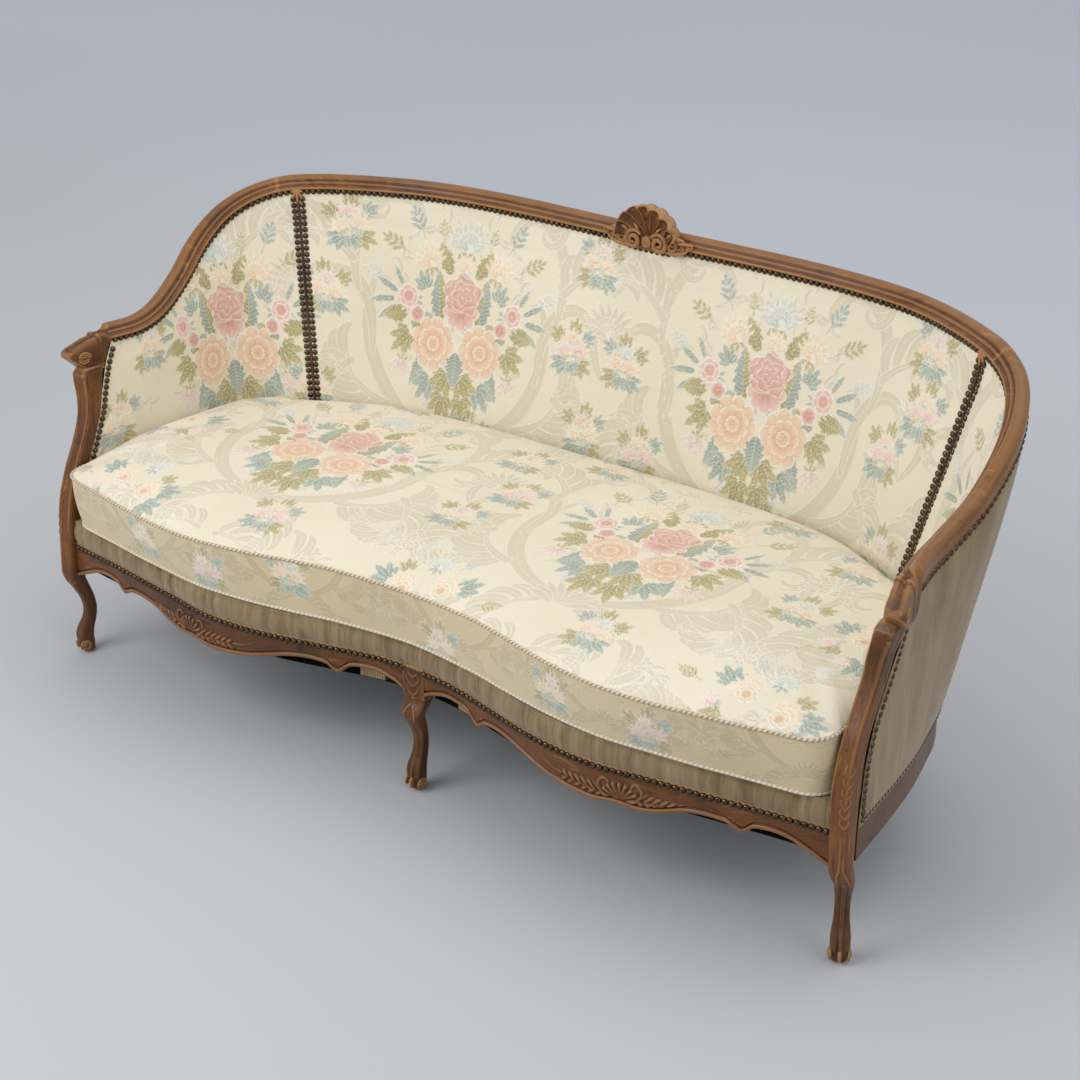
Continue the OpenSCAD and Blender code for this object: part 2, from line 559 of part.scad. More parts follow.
// Thin sheet or pad on the wall between two moving stations: cuts are functions of height share
function panel_ring(u, edge_a, edge_b, z0, top_gap, n_in, n_out, rows) =
    let (at = function(w, n)
            let (h_low = height_share((edge_a(0) + edge_b(0)) / 2, z0), h0 = h_low * (1 - w) + w,
                 s = mix(edge_a(h0), edge_b(h0), u), hz = height_share(s, z0),
                 top = 1 - top_gap / (top_point(abs(s))[2] - seat_z), h = mix(hz, top, w))
            wall(s, h, n))
    concat([for (j = [0 : rows]) at(j / rows, n_in(u, j / rows))],
        [for (j = [rows : -1 : 0]) at(j / rows, n_out(u, j / rows))]);

module panel(edge_a, edge_b, z0, top_gap, n_in, n_out, cols, rows) {
    sheet_loft([for (i = [0 : cols])
        panel_ring(i / cols, edge_a, edge_b, z0, top_gap, n_in, n_out, rows)]);
}

// Share of fullness across a pad, zero at its edges
function swell(u, w) =
    (1 - pow(abs(2 * u - 1), 6)) * (1 - pow(abs(2 * w - 1), 5)) * mix(0.75, 1, smooth(2 * w));
function side_swell(u, w) = swell(u, w) * min(1, (1 - u) / 0.45 + 0.04);

// The arm post's bow at height share h, which the panels give up under the end block
block_from = height_share(1, post_z);
function block_clear(h, from) =
    post_bow * lookup_at(post_line_shares, min(h, 1), 1) * smooth((h - from) / (1 - from) * 2);

// Edges of the panels: at the rear post, and just behind the arm post
post_at = function(d) function(h) along(rear_post_share, h, d);
pad_cut = strip_half + fit_gap;
back_a = function(h) -along(rear_post_share, h, -pad_cut);
back_b = post_at(-pad_cut);
side_a = post_at(pad_cut);
arm_edge_at = function(d, from) function(h)
    1 - step_share * (d + block_clear(h, from)) / norm(wall_mid(1, h) - wall_mid(1 - step_share, h));
arm_edge = arm_edge_at(2 * fit_gap, block_from);
coarse_rows = 6;
coarse_from = block_from - 1 / coarse_rows;
flat_at = function(n) function(u, w) n;

module back_pad() {
    color(silk) panel(back_a, back_b, pad_z, pad_top_gap,
        function(u, w) pad_face - back_crown * swell(u, w) - lumbar_at(pad_share(w)), flat_at(pad_back),
        back_cols, 12);
}

module side_pad(side) {
    color(silk) on_side(side) panel(side_a, arm_edge, pad_z, pad_top_gap,
        function(u, w) pad_face - side_crown * side_swell(u, w) - lumbar_at(pad_share(w)) * lumbar_share(u),
        flat_at(pad_back), side_cols, 12);
}

module back_burlap() {
    cut = pad_cut + 2 * fit_gap;
    color(burlap) panel(function(h) -along(rear_post_share, h, -cut), post_at(-cut),
        burlap_z, burlap_top_gap,
        flat_at(burlap_in), flat_at(burlap_in + burlap_t), back_cols, 4);
}

module side_burlap(side) {
    color(burlap) on_side(side)
        panel(post_at(pad_cut + 2 * fit_gap), arm_edge_at(4 * fit_gap, coarse_from),
            burlap_z, burlap_top_gap, flat_at(burlap_in), flat_at(burlap_in + burlap_t),
            side_cols, coarse_rows);
}

module outer_back_cover() {
    color(velvet) panel(function(h) -along(rear_post_share, h, -fit_gap), post_at(-fit_gap),
        seat_z + fit_gap, cover_top_gap, flat_at(cover_in), flat_at(cover_in + cover_t), back_cols, 2);
}

module outer_side_cover(side) {
    color(velvet) on_side(side)
        panel(post_at(fit_gap), arm_edge_at(2 * fit_gap, coarse_from), seat_z + fit_gap, cover_top_gap,
            function(u, w) cover_in + cover_crown * swell(u, w) / 2,
            function(u, w) cover_in + cover_t + cover_crown * swell(u, w), side_cols, coarse_rows);
}

// Plan of the seat: the wall's foot at distance n, then a line behind the front rail's face
function seat_plan(n, s_end, half, back_off, steps) =
    let (corner_y = wall(s_end, 0, n)[1])
    concat([for (i = [-steps : steps]) let (p = wall(i / steps * s_end, 0, n)) [p[0], p[1]]],
        [[half, corner_y]],
        [for (i = [steps : -1 : -steps]) let (x = i / steps * half) [x, front_y(x) + back_off]],
        [[-half, corner_y]]);

// Clear half width at the front of the seat, between the arm posts
function front_half() = base_point(1)[0] - post_waist / 2 - 2 * fit_gap;

// Firm platform over the springs, hollow below behind its front roll
module seat_deck() {
    pocket_h = deck_h / 2;
    color(velvet) translate([0, 0, seat_z + fit_gap]) difference() {
        linear_extrude(deck_h) polygon(seat_plan(-2 * fit_gap, 1, front_half(), 3 * fit_gap, 24));
        translate([0, 0, -fit_gap]) linear_extrude(pocket_h + fit_gap) polygon([
            [-half_w * 0.84, feet_y + deck_roll_w], [half_w * 0.84, feet_y + deck_roll_w],
            [half_w * 0.69, feet_y + seat_run * 0.74], [-half_w * 0.69, feet_y + seat_run * 0.74]]);
    }
}

// Dust cover under the webbing, cut round the legs
module dust_cover() {
    leg = wall(rear_post_share, 0, seat_in + seat_rail_t / 2);
    color(cambric) translate([0, 0, dust_z]) linear_extrude(dust_t) difference() {
        polygon(seat_plan(seat_in + seat_rail_t / 3, 0.985, front_half(), apron_t + fit_gap, 20));
        translate([-centre_block_w / 2, front_y(0)])
            square([centre_block_w, apron_t + block_proud + fit_gap]);
        for (side = [-1, 1]) scale([side, 1])
            polygon([for (p = rear_leg_ring(leg, seat_rail_t + 13 * fit_gap)) [p[0], p[1]]]);
    }
}

// Places of the springs, where the bands cross
spring_xs = [for (side = [-1, 1]) for (i = [0 : 2]) side * (i + 0.5) * spring_share_x * half_w];
spring_ys = [for (j = [-1 : 1]) feet_y + (0.4 + j * spring_share_y) * seat_run];

// Distance out from the middle to the wall's foot, n outward, at run y
function foot_half(y, n) = [for (i = [0 : 80]) let (p = wall(i / 80, 0, n)) if (p[1] < y) p[0]][0];
// Run of the wall's foot, n outward, at distance x from the middle
function foot_run(x, n) = let (ps = [for (i = [0 : 80]) let (p = wall(i / 80, 0, n)) if (p[0] < x) p[1]])
    ps[len(ps) - 1];

// Bands under the side and back rails, their front ends turned up behind the front rail
module seat_webbing() {
    tack = seat_in + seat_rail_t / 2;
    color(jute) union() {
        for (y = spring_ys) let (w = foot_half(y, tack))
            translate([-w, y - band_w / 2, web_z - band_t]) cube([2 * w, band_w, band_t]);
        for (x = spring_xs) let (y1 = foot_run(abs(x), tack),
            line = [for (i = [-2 : 2]) let (px = x + i * band_w / 4) [px, front_y(px) + apron_t + fit_gap]],
            inner = [for (i = [4 : -1 : 0]) line[i] + [0, band_t]])
            translate([0, 0, web_z - 2 * band_t]) {
                linear_extrude(band_t) polygon(concat(line, [[x + band_w / 2, y1], [x - band_w / 2, y1]]));
                linear_extrude(band_tab_h) polygon(concat(line, inner));
            }
    }
}

// Hourglass outline of a spring, at share t of its height
function spring_share(t) = 0.72 + 0.28 * cos(360 * t);

module seat_springs() {
    z0 = web_z + fit_gap;
    h = seat_z + deck_h / 2 - z0;
    color(steel) for (x = spring_xs) for (y = spring_ys) translate([x, y, z0])
        rotate_extrude($fn = 24) polygon(concat(
            [for (k = [0 : 8]) [spring_r * spring_share(k / 8), h * k / 8]],
            [for (k = [8 : -1 : 0]) [spring_r * spring_share(k / 8) - spring_wire, h * k / 8]]));
}

module foot_glides() {
    color(steel) {
        for (side = [-1, 1]) {
            translate([side * foot_x, feet_y, 0]) cylinder(h = glide_t, r = glide_r, $fn = 32);
            on_side(side) translate(rear_foot) cylinder(h = glide_t, r = glide_r, $fn = 32);
        }
        translate([0, feet_y - centre_foot_reach, 0]) cylinder(h = glide_t, r = glide_r, $fn = 32);
    }
}

// Fan of ribs that rises from an eye on the top rail and curls forward at its edge
module crest_shell() {
    eye = rail_point(0, 0, shell_eye_rise);
    cols = 8 * shell_ribs;
    rib = function(a) cos(a / shell_spread * 180 * shell_ribs);
    front = function(a, r) -0.06 * shell_r - shell_curl * r * r - shell_rib_depth * r * rib(a);
    edge = function(a) shell_r * (1 + 0.06 * rib(a));
    at = function(a, r, n) eye + [r * edge(a) * sin(a), n, r * edge(a) * cos(a)];
    rows = [0.12, 0.35, 0.6, 0.82, 1];
    color(wood) difference() {
        loft([for (i = [0 : cols]) let (a = mix(-shell_spread, shell_spread, i / cols)) concat(
            [for (r = rows) at(a, r, front(a, r))],
            [at(a, 0.94, 0.18 * shell_r), at(a, 0.5, 0.3 * shell_r), at(a, 0.12, 0.3 * shell_r)])]);
        loft([for (i = [-6 : 6]) rail_ring(i / 20 * joint_share, fit_gap)]);
    }
}

// Outline of the cushion at one seam: the wall's foot moved in, then the front curve
function cushion_plan(z, shares, steps) =
    let (beyond = function(s) (abs(s) - rear_post_share) / (1 - rear_post_share),
         gap = function(s) mix(cushion_gap, cushion_post_gap, smooth((abs(s) - 0.78) / 0.2))
            + lumbar_at(height_share(s, z)) * lumbar_share(beyond(s)),
         wall_part = [for (i = [-steps : steps]) let (s = i / steps * 0.96, p = wall_at(s, z, -gap(s)))
            [p[0], p[1]]],
         n = len(shares) - 1, front = [for (i = [n : -1 : -n]) let (r = shares[abs(i)])
            [sign(i) * r[0] * half_w, feet_y - r[1] * cushion_reach]])
    concat(wall_part, front);

module seat_cushion() {
    z0 = deck_top + fit_gap;
    low = cushion_plan(z0 + cushion_h * 0.1, cushion_low_shares, 20);
    high = cushion_plan(z0 + cushion_h * 0.9, cushion_top_shares, 20);
    mid_y = feet_y + seat_run * 0.42;
    ring = function(plan, z, inset) [for (p = plan)
        [p[0] * (1 - inset), mid_y + (p[1] - mid_y) * (1 - inset), z]];
    between = function(t, z, inset) ring([for (i = [0 : len(low) - 1]) mix(low[i], high[i], t)], z, inset);
    color(silk) loft([for (r = [
        ring(low, z0, 0.02), ring(low, z0 + cushion_h * 0.04, 0),
        between(0.25, z0 + cushion_h * 0.25, 0.004), between(0.6, z0 + cushion_h * 0.62, 0.004),
        ring(high, z0 + cushion_h * 0.96, 0), ring(high, z0 + cushion_h, 0.004),
        ring(high, z0 + cushion_h + cushion_crown * 0.36, 0.03),
        ring(high, z0 + cushion_h + cushion_crown * 0.66, 0.1),
        ring(high, z0 + cushion_h + cushion_crown * 0.88, 0.28),
        ring(high, z0 + cushion_h + cushion_crown, 0.62)]) r]);
}

crest_rail();
crest_shell();
arm_rail(-1);  // arm_rail_left
arm_rail(1);  // arm_rail_right
front_post(-1);  // front_post_left
front_post(1);  // front_post_right
rear_post(-1);  // rear_post_left
rear_post(1);  // rear_post_right
centre_leg();
front_rail(-1);  // front_rail_left
front_rail(1);  // front_rail_right
side_rail(-1);  // side_rail_left
side_rail(1);  // side_rail_right
back_rail();
cross_rail();
corner_blocks();
back_tack_rail();
side_tack_rail(-1);  // side_tack_rail_left
side_tack_rail(1);  // side_tack_rail_right
back_burlap();
side_burlap(-1);  // side_burlap_left
side_burlap(1);  // side_burlap_right
back_pad();
side_pad(-1);  // side_pad_left
side_pad(1);  // side_pad_right
outer_back_cover();
outer_side_cover(-1);  // outer_side_cover_left
outer_side_cover(1);  // outer_side_cover_right
seat_webbing();
seat_springs();
seat_deck();
dust_cover();
foot_glides();
seat_cushion();
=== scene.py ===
"""Looks of a cabriole sofa: carved walnut frame, nailed brocade, boxed seat cushion."""

import json
import math

import bmesh
import bpy
import numpy as np
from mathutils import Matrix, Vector


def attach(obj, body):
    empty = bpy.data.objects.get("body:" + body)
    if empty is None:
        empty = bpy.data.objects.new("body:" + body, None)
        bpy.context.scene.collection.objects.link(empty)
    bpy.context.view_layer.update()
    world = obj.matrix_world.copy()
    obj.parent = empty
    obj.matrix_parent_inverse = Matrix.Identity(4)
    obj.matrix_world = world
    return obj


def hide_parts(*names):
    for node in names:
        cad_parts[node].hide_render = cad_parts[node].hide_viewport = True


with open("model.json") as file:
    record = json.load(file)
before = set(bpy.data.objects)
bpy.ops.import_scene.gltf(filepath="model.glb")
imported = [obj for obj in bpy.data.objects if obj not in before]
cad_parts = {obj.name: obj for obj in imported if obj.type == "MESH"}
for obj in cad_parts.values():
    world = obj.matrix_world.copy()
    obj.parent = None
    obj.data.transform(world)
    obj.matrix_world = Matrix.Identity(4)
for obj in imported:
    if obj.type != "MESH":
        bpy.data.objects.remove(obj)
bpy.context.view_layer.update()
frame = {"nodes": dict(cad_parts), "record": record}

# Driving sizes, in metres, the same as the part's
half_w = 0.875
seat_run = 0.700
crest_z = 0.840
arm_z = 0.626
post_bow = 0.022
post_waist = 0.009
rear_post_share = 0.507
joint_share = 0.545
arm_end_len = 0.094
arm_end_h = 0.064
arm_end_lean = 0.018
rail_d = 0.034
rail_rise = 0.030
pad_back = 0.0066
pad_edge_t = 0.0046
back_crown = 0.017
side_crown = 0.012
lumbar = 0.042
lumbar_high = 0.9
lumbar_low = 0.32
lumbar_fade = 0.52
cover_in = 0.0292
cover_t = 0.003
cover_crown = 0.012
fit_gap = 0.0003
strip_w = 0.005
seat_z = 0.250
rails_z = 0.190
apron_t = 0.026
apron_drop = 0.072
apron_bead = 0.005
front_bulge = 0.082
post_w = 0.034
post_d = 0.040
post_z = 0.575
foot_x = 0.870
knee_w = 0.042
knee_reach = 0.020
leg_turn = math.radians(30)
scroll_r = 0.010
centre_block_w = 0.050
block_proud = 0.004
centre_foot_reach = 0.005
glide_t = 0.003
shell_r = 0.066
shell_eye_rise = 0.014
deck_h = 0.048
cushion_h = 0.110
cushion_crown = 0.046
cushion_reach = 0.103
cushion_gap = 0.015
cushion_post_gap = 0.0025

feet_y = -(seat_run + rail_d - cushion_reach) / 2
pad_face = pad_back - pad_edge_t
pad_z = seat_z + deck_h + 2 * fit_gap
cushion_z = pad_z

# Shares of the driving sizes that give the sweeping lines, the same as the part's.
# Top and foot of the wall: across, back and, for the top, up
top_shares = [[0, 1, 0.99], [0.171, 1, 0.995], [0.343, 0.997, 1], [0.491, 0.989, 0.995],
    [0.611, 0.969, 0.988], [0.697, 0.931, 0.99], [0.768, 0.88, 1], [0.834, 0.826, 1.003],
    [0.897, 0.775, 0.978], [0.951, 0.719, 0.888], [0.985, 0.651, 0.745], [0.999, 0.574, 0.533],
    [0.993, 0.479, 0.266], [0.978, 0.371, 0.084], [0.975, 0.276, 0.009], [0.99, 0.179, 0]]
base_shares = [[0, 0.897], [0.171, 0.896], [0.331, 0.891], [0.474, 0.874], [0.577, 0.849],
    [0.64, 0.823], [0.695, 0.789], [0.741, 0.758], [0.792, 0.717], [0.84, 0.669],
    [0.874, 0.614], [0.898, 0.55], [0.917, 0.464], [0.942, 0.336], [0.96, 0.19], [0.978, 0]]
# Bulge of the front, and drop of the front rails' lower edge, across the width
front_shares = [[0, 0.14], [0.057, 0.18], [0.114, 0.27], [0.229, 0.56], [0.343, 0.86],
    [0.429, 0.98], [0.48, 1], [0.531, 0.97], [0.6, 0.84], [0.686, 0.7], [0.8, 0.52],
    [0.914, 0.36], [0.99, 0.27]]
edge_shares = [[0, 0.72], [0.018, 0.62], [0.055, 0.49], [0.1, 0.46], [0.135, 0.53],
    [0.16, 0.74], [0.168, 0.74], [0.188, 0.58], [0.225, 0.53], [0.275, 0.57], [0.335, 0.73],
    [0.385, 0.88], [0.44, 0.96], [0.495, 1], [0.545, 0.94], [0.605, 0.98], [0.648, 0.87],
    [0.692, 0.69], [0.735, 0.62], [0.785, 0.64], [0.812, 0.78], [0.82, 0.77], [0.84, 0.59],
    [0.88, 0.54], [0.92, 0.61], [0.96, 0.8], [1, 1]]
# Reach of the cushion's front at its top and at its foot
cushion_top_shares = [[0, 0.32], [0.171, 0.41], [0.266, 0.58], [0.38, 0.83], [0.491, 0.98],
    [0.56, 1], [0.64, 0.95], [0.72, 0.83], [0.8, 0.71], [0.88, 0.56], [0.926, 0.48],
    [0.951, 0.34], [0.965, 0.08]]
cushion_low_shares = [[0, 0.2], [0.171, 0.35], [0.266, 0.52], [0.38, 0.7], [0.491, 0.79],
    [0.56, 0.77], [0.64, 0.69], [0.72, 0.61], [0.8, 0.5], [0.88, 0.4], [0.924, 0.34],
    [0.948, 0.2], [0.962, 0]]
# A front leg up its height: reach and width
leg_shares = [[0, 0.1, 0.6], [0.07, 0.2, 0.72], [0.14, 0.3, 0.8], [0.21, 0.15, 0.76],
    [0.29, -0.25, 0.64], [0.39, -0.45, 0.6], [0.5, -0.2, 0.66], [0.6, 0.3, 0.78],
    [0.7, 0.75, 0.92], [0.78, 0.95, 1]]
# Bow of an arm post up its height
post_line_shares = [[0, 0], [0.12, 0.47], [0.26, 0.91], [0.4, 1], [0.53, 0.7], [0.65, 0.44],
    [0.76, 0.5], [0.88, 0.42], [1, 0]]
# Section of the top rail, cut finer than the part's, with its bead, fillet, cove and broad roll: shares of
# depth and rise
rail_shares = [[0.06, -0.02], [0.055, 0.13], [-0.03, 0.14], [-0.1, 0.18], [-0.13, 0.25], [-0.11, 0.32],
    [-0.05, 0.36], [-0.02, 0.38], [0, 0.42], [0.05, 0.43], [0.07, 0.47], [0.08, 0.54], [0.12, 0.6],
    [0.19, 0.63], [0.25, 0.64], [0.27, 0.67], [0.28, 0.74], [0.31, 0.84], [0.39, 0.93], [0.5, 0.985],
    [0.62, 1], [0.76, 0.97], [0.88, 0.89], [0.96, 0.77], [1, 0.62], [1, 0.3], [0.98, -0.05],
    [0.8, -0.1], [0.4, -0.12], [0.24, -0.1]]

# Curves


def cubic(a, b, c, d, u):
    """Smooth curve from b to c, with a and d the points on either side."""
    return (2 * b + (c - a) * u + (2 * a - 5 * b + 4 * c - d) * u ** 2
        + (3 * b - a - 3 * c + d) * u ** 3) / 2


def spline(table, t):
    """Points at shares t along a smooth curve through the table's rows."""
    rows = np.asarray(table, float)
    n = len(rows) - 1
    t = np.asarray(t, float)
    k = np.clip(np.floor(t * n).astype(int), 0, n - 1)
    u = (t * n - k)[..., None]
    return cubic(rows[np.maximum(k - 1, 0)], rows[k], rows[k + 1], rows[np.minimum(k + 2, n)], u)


def lookup(table, x, column=1):
    """Values of a column where the table's first column is x."""
    rows = np.asarray(table, float)
    n = len(rows) - 1
    x = np.asarray(x, float)
    k = np.clip(np.searchsorted(rows[:, 0], x, side="right") - 1, 0, n - 1)
    u = (x - rows[k, 0]) / (rows[k + 1, 0] - rows[k, 0])
    c = rows[:, column]
    return cubic(c[np.maximum(k - 1, 0)], c[k], c[k + 1], c[np.minimum(k + 2, n)], u)


def mix(a, b, t):
    return a + (b - a) * t


def smooth(t):
    c = np.clip(t, 0, 1)
    return c * c * (3 - 2 * c)


def unit(v):
    return v / np.maximum(np.linalg.norm(v, axis=-1, keepdims=True), 1e-12)


def point(x, y, z):
    """Points from coordinates that may be arrays of one shape."""
    x, y, z = np.broadcast_arrays(np.asarray(x, float), np.asarray(y, float), np.asarray(z, float))
    return np.stack([x, y, z], -1)


def run_along(points):
    """Length from a polyline's start to each of its points."""
    return np.concatenate([[0], np.cumsum(np.linalg.norm(np.diff(points, axis=0), axis=1))])


def at_run(at, run, values):
    """Rows of values at lengths along a line."""
    return np.stack([np.interp(at, run, column) for column in values.T], -1)


def even(points, pitch, closed=False):
    """Points about pitch apart along a polyline, with the directions there."""
    p = np.asarray(points, float)
    if closed:
        p = np.vstack([p, p[:1]])
    run = run_along(p)
    count = max(2, int(round(run[-1] / pitch)) + 1)
    at = np.linspace(0, run[-1], count)
    q = at_run(at, run, p)
    if closed:
        q = q[:-1]
        way = unit(np.roll(q, -1, 0) - np.roll(q, 1, 0))
    else:
        way = unit(np.gradient(q, axis=0))
    return q, way

# The wall: station s along it, height share h, distance n outward


def top_point(s):
    p = spline(top_shares, np.abs(s))
    return point(p[..., 0] * half_w, feet_y + p[..., 1] * seat_run, arm_z + p[..., 2] * (crest_z - arm_z))


def base_point(s):
    p = spline(base_shares, np.abs(s))
    return point(p[..., 0] * half_w, feet_y + p[..., 1] * seat_run, seat_z)


def wall_mid(s, h):
    s, h = np.broadcast_arrays(np.asarray(s, float), np.asarray(h, float))
    low = base_point(s)
    p = low + (top_point(s) - low) * h[..., None]
    near = smooth((np.abs(s) - rear_post_share) / (1 - rear_post_share))
    c = np.clip(h, 0, 1)
    bow = post_bow * near * lookup(post_line_shares, c)
    waist = post_waist * near * np.sin(math.pi * c)
    return point(np.sign(s) * (p[..., 0] - waist), p[..., 1] - bow, p[..., 2])


def wall_normal(s, h):
    d = wall_mid(np.asarray(s) + 0.01, h) - wall_mid(np.asarray(s) - 0.01, h)
    return unit(point(-d[..., 1], d[..., 0], 0))


def wall(s, h, n):
    return wall_mid(s, h) + np.asarray(n, float)[..., None] * wall_normal(s, h)


def height_share(s, z):
    return (z - seat_z) / (top_point(s)[..., 2] - seat_z)


def along(s, h, d):
    """Station that lies d further along the wall than s."""
    step = wall_mid(np.asarray(s) + 0.01, h) - wall_mid(np.asarray(s) - 0.01, h)
    return s + 0.02 * d / np.linalg.norm(step, axis=-1)


def arm_edge(h, d=2 * fit_gap):
    """Station that lies d behind the arm post."""
    step = wall_mid(1.0, h) - wall_mid(0.99, h)
    return 1 - 0.01 * d / np.linalg.norm(step, axis=-1)


def front_y(x):
    return feet_y - front_bulge * lookup(front_shares, np.minimum(np.abs(x) / half_w, 0.99))


def rail_point(s, n, v):
    """Points of the top rail, n outward and v above the tacking line."""
    run = unit(wall_mid(s + 0.01, 1) - wall_mid(s - 0.01, 1))
    out = wall_normal(s, 1)
    up = np.cross(run, out)
    return wall_mid(s, 1) + np.asarray(n)[..., None] * out + np.asarray(v)[..., None] * up

# Meshes


class Shape:
    """Collects patches of faces, which then become one object."""

    def __init__(self):
        self.points = []
        self.quads = []
        self.tris = []
        self.count = 0

    def add(self, points, quads=None, tris=None):
        points = np.asarray(points, float).reshape(-1, 3)
        if quads is not None and len(quads):
            self.quads.append(np.asarray(quads, int).reshape(-1, 4) + self.count)
        if tris is not None and len(tris):
            self.tris.append(np.asarray(tris, int).reshape(-1, 3) + self.count)
        self.points.append(points)
        self.count += len(points)

    def grid(self, points):
        """A sheet over a grid of points."""
        m, n = points.shape[:2]
        self.add(points, grid_quads(m, n, False))

    def loft(self, rings, caps=True):
        """A skin over closed rings, with a fan at each end unless caps is False."""
        rings = np.asarray(rings, float)
        m, n = rings.shape[:2]
        points = np.vstack([rings.reshape(-1, 3), rings[0].mean(0)[None], rings[-1].mean(0)[None]])
        j = np.arange(n)
        k = (j + 1) % n
        tris = None
        if caps:
            low = np.stack([np.full(n, m * n), k, j], -1)
            high = np.stack([np.full(n, m * n + 1), (m - 1) * n + j, (m - 1) * n + k], -1)
            tris = np.vstack([low, high])
        self.add(points, grid_quads(m, n, True), tris)

    def sheet(self, front, back):
        """A closed sheet with one finely cut face, whose edges run to its plainer back."""
        front, back = np.asarray(front, float), np.asarray(back, float)
        m, n = front.shape[:2]
        k = back.shape[1]
        self.grid(front)
        base = self.count - m * n
        self.grid(back[:, ::-1])
        far = self.count - m * k
        i = np.arange(m - 1)
        top = [base + i * n + n - 1, far + i * k, far + (i + 1) * k, base + (i + 1) * n + n - 1]
        low = [base + i * n, base + (i + 1) * n, far + (i + 1) * k + k - 1, far + i * k + k - 1]
        self.quads.append(np.vstack([np.stack(top, -1), np.stack(low, -1)]))
        for row in (0, m - 1):
            j = np.arange(n - 1)
            at = np.round(j * (k - 1) / (n - 1)).astype(int)
            nxt = np.round((j + 1) * (k - 1) / (n - 1)).astype(int)
            a = base + row * n + j
            b = far + row * k + (k - 1 - at)
            c = far + row * k + (k - 1 - nxt)
            self.tris.append(np.stack([a, a + 1, b], -1))
            step = at != nxt
            self.tris.append(np.stack([a[step] + 1, c[step], b[step]], -1))

    def object(self, name, material, body="sofa_frame", slot=None):
        """Makes the object, its faces turned outward, that rides on a body."""
        points = np.vstack(self.points)
        quads = np.vstack(self.quads) if self.quads else np.zeros((0, 4), int)
        tris = np.vstack(self.tris) if self.tris else np.zeros((0, 3), int)
        mesh = bpy.data.meshes.new(name)
        mesh.vertices.add(len(points))
        mesh.vertices.foreach_set("co", points.ravel())
        mesh.loops.add(quads.size + tris.size)
        mesh.loops.foreach_set("vertex_index", np.concatenate([quads.ravel(), tris.ravel()]))
        starts = np.concatenate([np.arange(len(quads)) * 4, quads.size + np.arange(len(tris)) * 3])
        mesh.polygons.add(len(starts))
        mesh.polygons.foreach_set("loop_start", starts)
        mesh.update(calc_edges=True)
        mesh.validate()
        outward(mesh)
        mesh.shade_smooth()
        mesh.materials.append(material)
        piece = bpy.data.objects.new(name, mesh)
        bpy.context.scene.collection.objects.link(piece)
        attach(piece, body)
        return piece


def grid_quads(m, n, wrap):
    """Faces of a grid of points; wrap joins its last column to its first."""
    i = np.arange(m - 1)[:, None]
    j = np.arange(n if wrap else n - 1)[None, :]
    k = (j + 1) % n
    return np.stack([i * n + j, i * n + k, (i + 1) * n + k, (i + 1) * n + j], -1).reshape(-1, 4)


def outward(mesh):
    """Turns the faces of closed patches outward."""
    b = bmesh.new()
    b.from_mesh(mesh)
    bmesh.ops.recalc_face_normals(b, faces=b.faces)
    b.to_mesh(mesh)
    b.free()


def superellipse(count, power):
    """A ring one wide and deep: round at power 2, nearly square at a high power."""
    a = np.linspace(0, 2 * math.pi, count, endpoint=False)
    c, s = np.cos(a), np.sin(a)
    k = (np.abs(c) ** power + np.abs(s) ** power) ** (-1 / power)
    return np.stack([k * c, k * s], -1) / 2


def oval(centre, w, d, turn, unit_ring):
    """A ring w wide and d deep, turned about its middle."""
    x = unit_ring[:, 0] * w
    y = unit_ring[:, 1] * d
    c, s = math.cos(turn), math.sin(turn)
    return centre + point(x * c - y * s, x * s + y * c, 0)


def mirrored(rings):
    return np.asarray(rings) * [-1, 1, 1]

# Woven and carved patterns

# Colours of the silks, linear
cloth_ground = (0.885, 0.80, 0.61)
cloth_figure = (0.66, 0.575, 0.405)
cloth_line = (0.97, 0.935, 0.815)
silk = {
    "rose": ((0.66, 0.28, 0.22), (0.93, 0.70, 0.60)),
    "peach": ((0.74, 0.36, 0.18), (0.95, 0.76, 0.56)),
    "apricot": ((0.74, 0.44, 0.24), (0.96, 0.80, 0.58)),
    "blue": ((0.16, 0.21, 0.18), (0.55, 0.60, 0.50)),
    "olive": ((0.24, 0.19, 0.05), (0.64, 0.56, 0.30)),
    "lilac": ((0.60, 0.34, 0.30), (0.92, 0.74, 0.66)),
    "mist": ((0.40, 0.45, 0.42), (0.80, 0.80, 0.70))}


# One cell of a painted field, and the widths of its blurred edges, pale outlines, ribs and threads
cell = 0.001
edge_blur = 0.0009
leaf_rim = 0.0013
petal_rim = 0.0022
rose_rim = 0.0015
mid_rib = 0.0008
thread_r = 0.0008
damask_rim = 0.0011
# Cover of a painted leaf, petal, rose, heart and stem
leaf_cover, petal_cover, rose_cover, heart_cover, stem_cover = 0.95, 0.95, 0.85, 0.7, 0.6


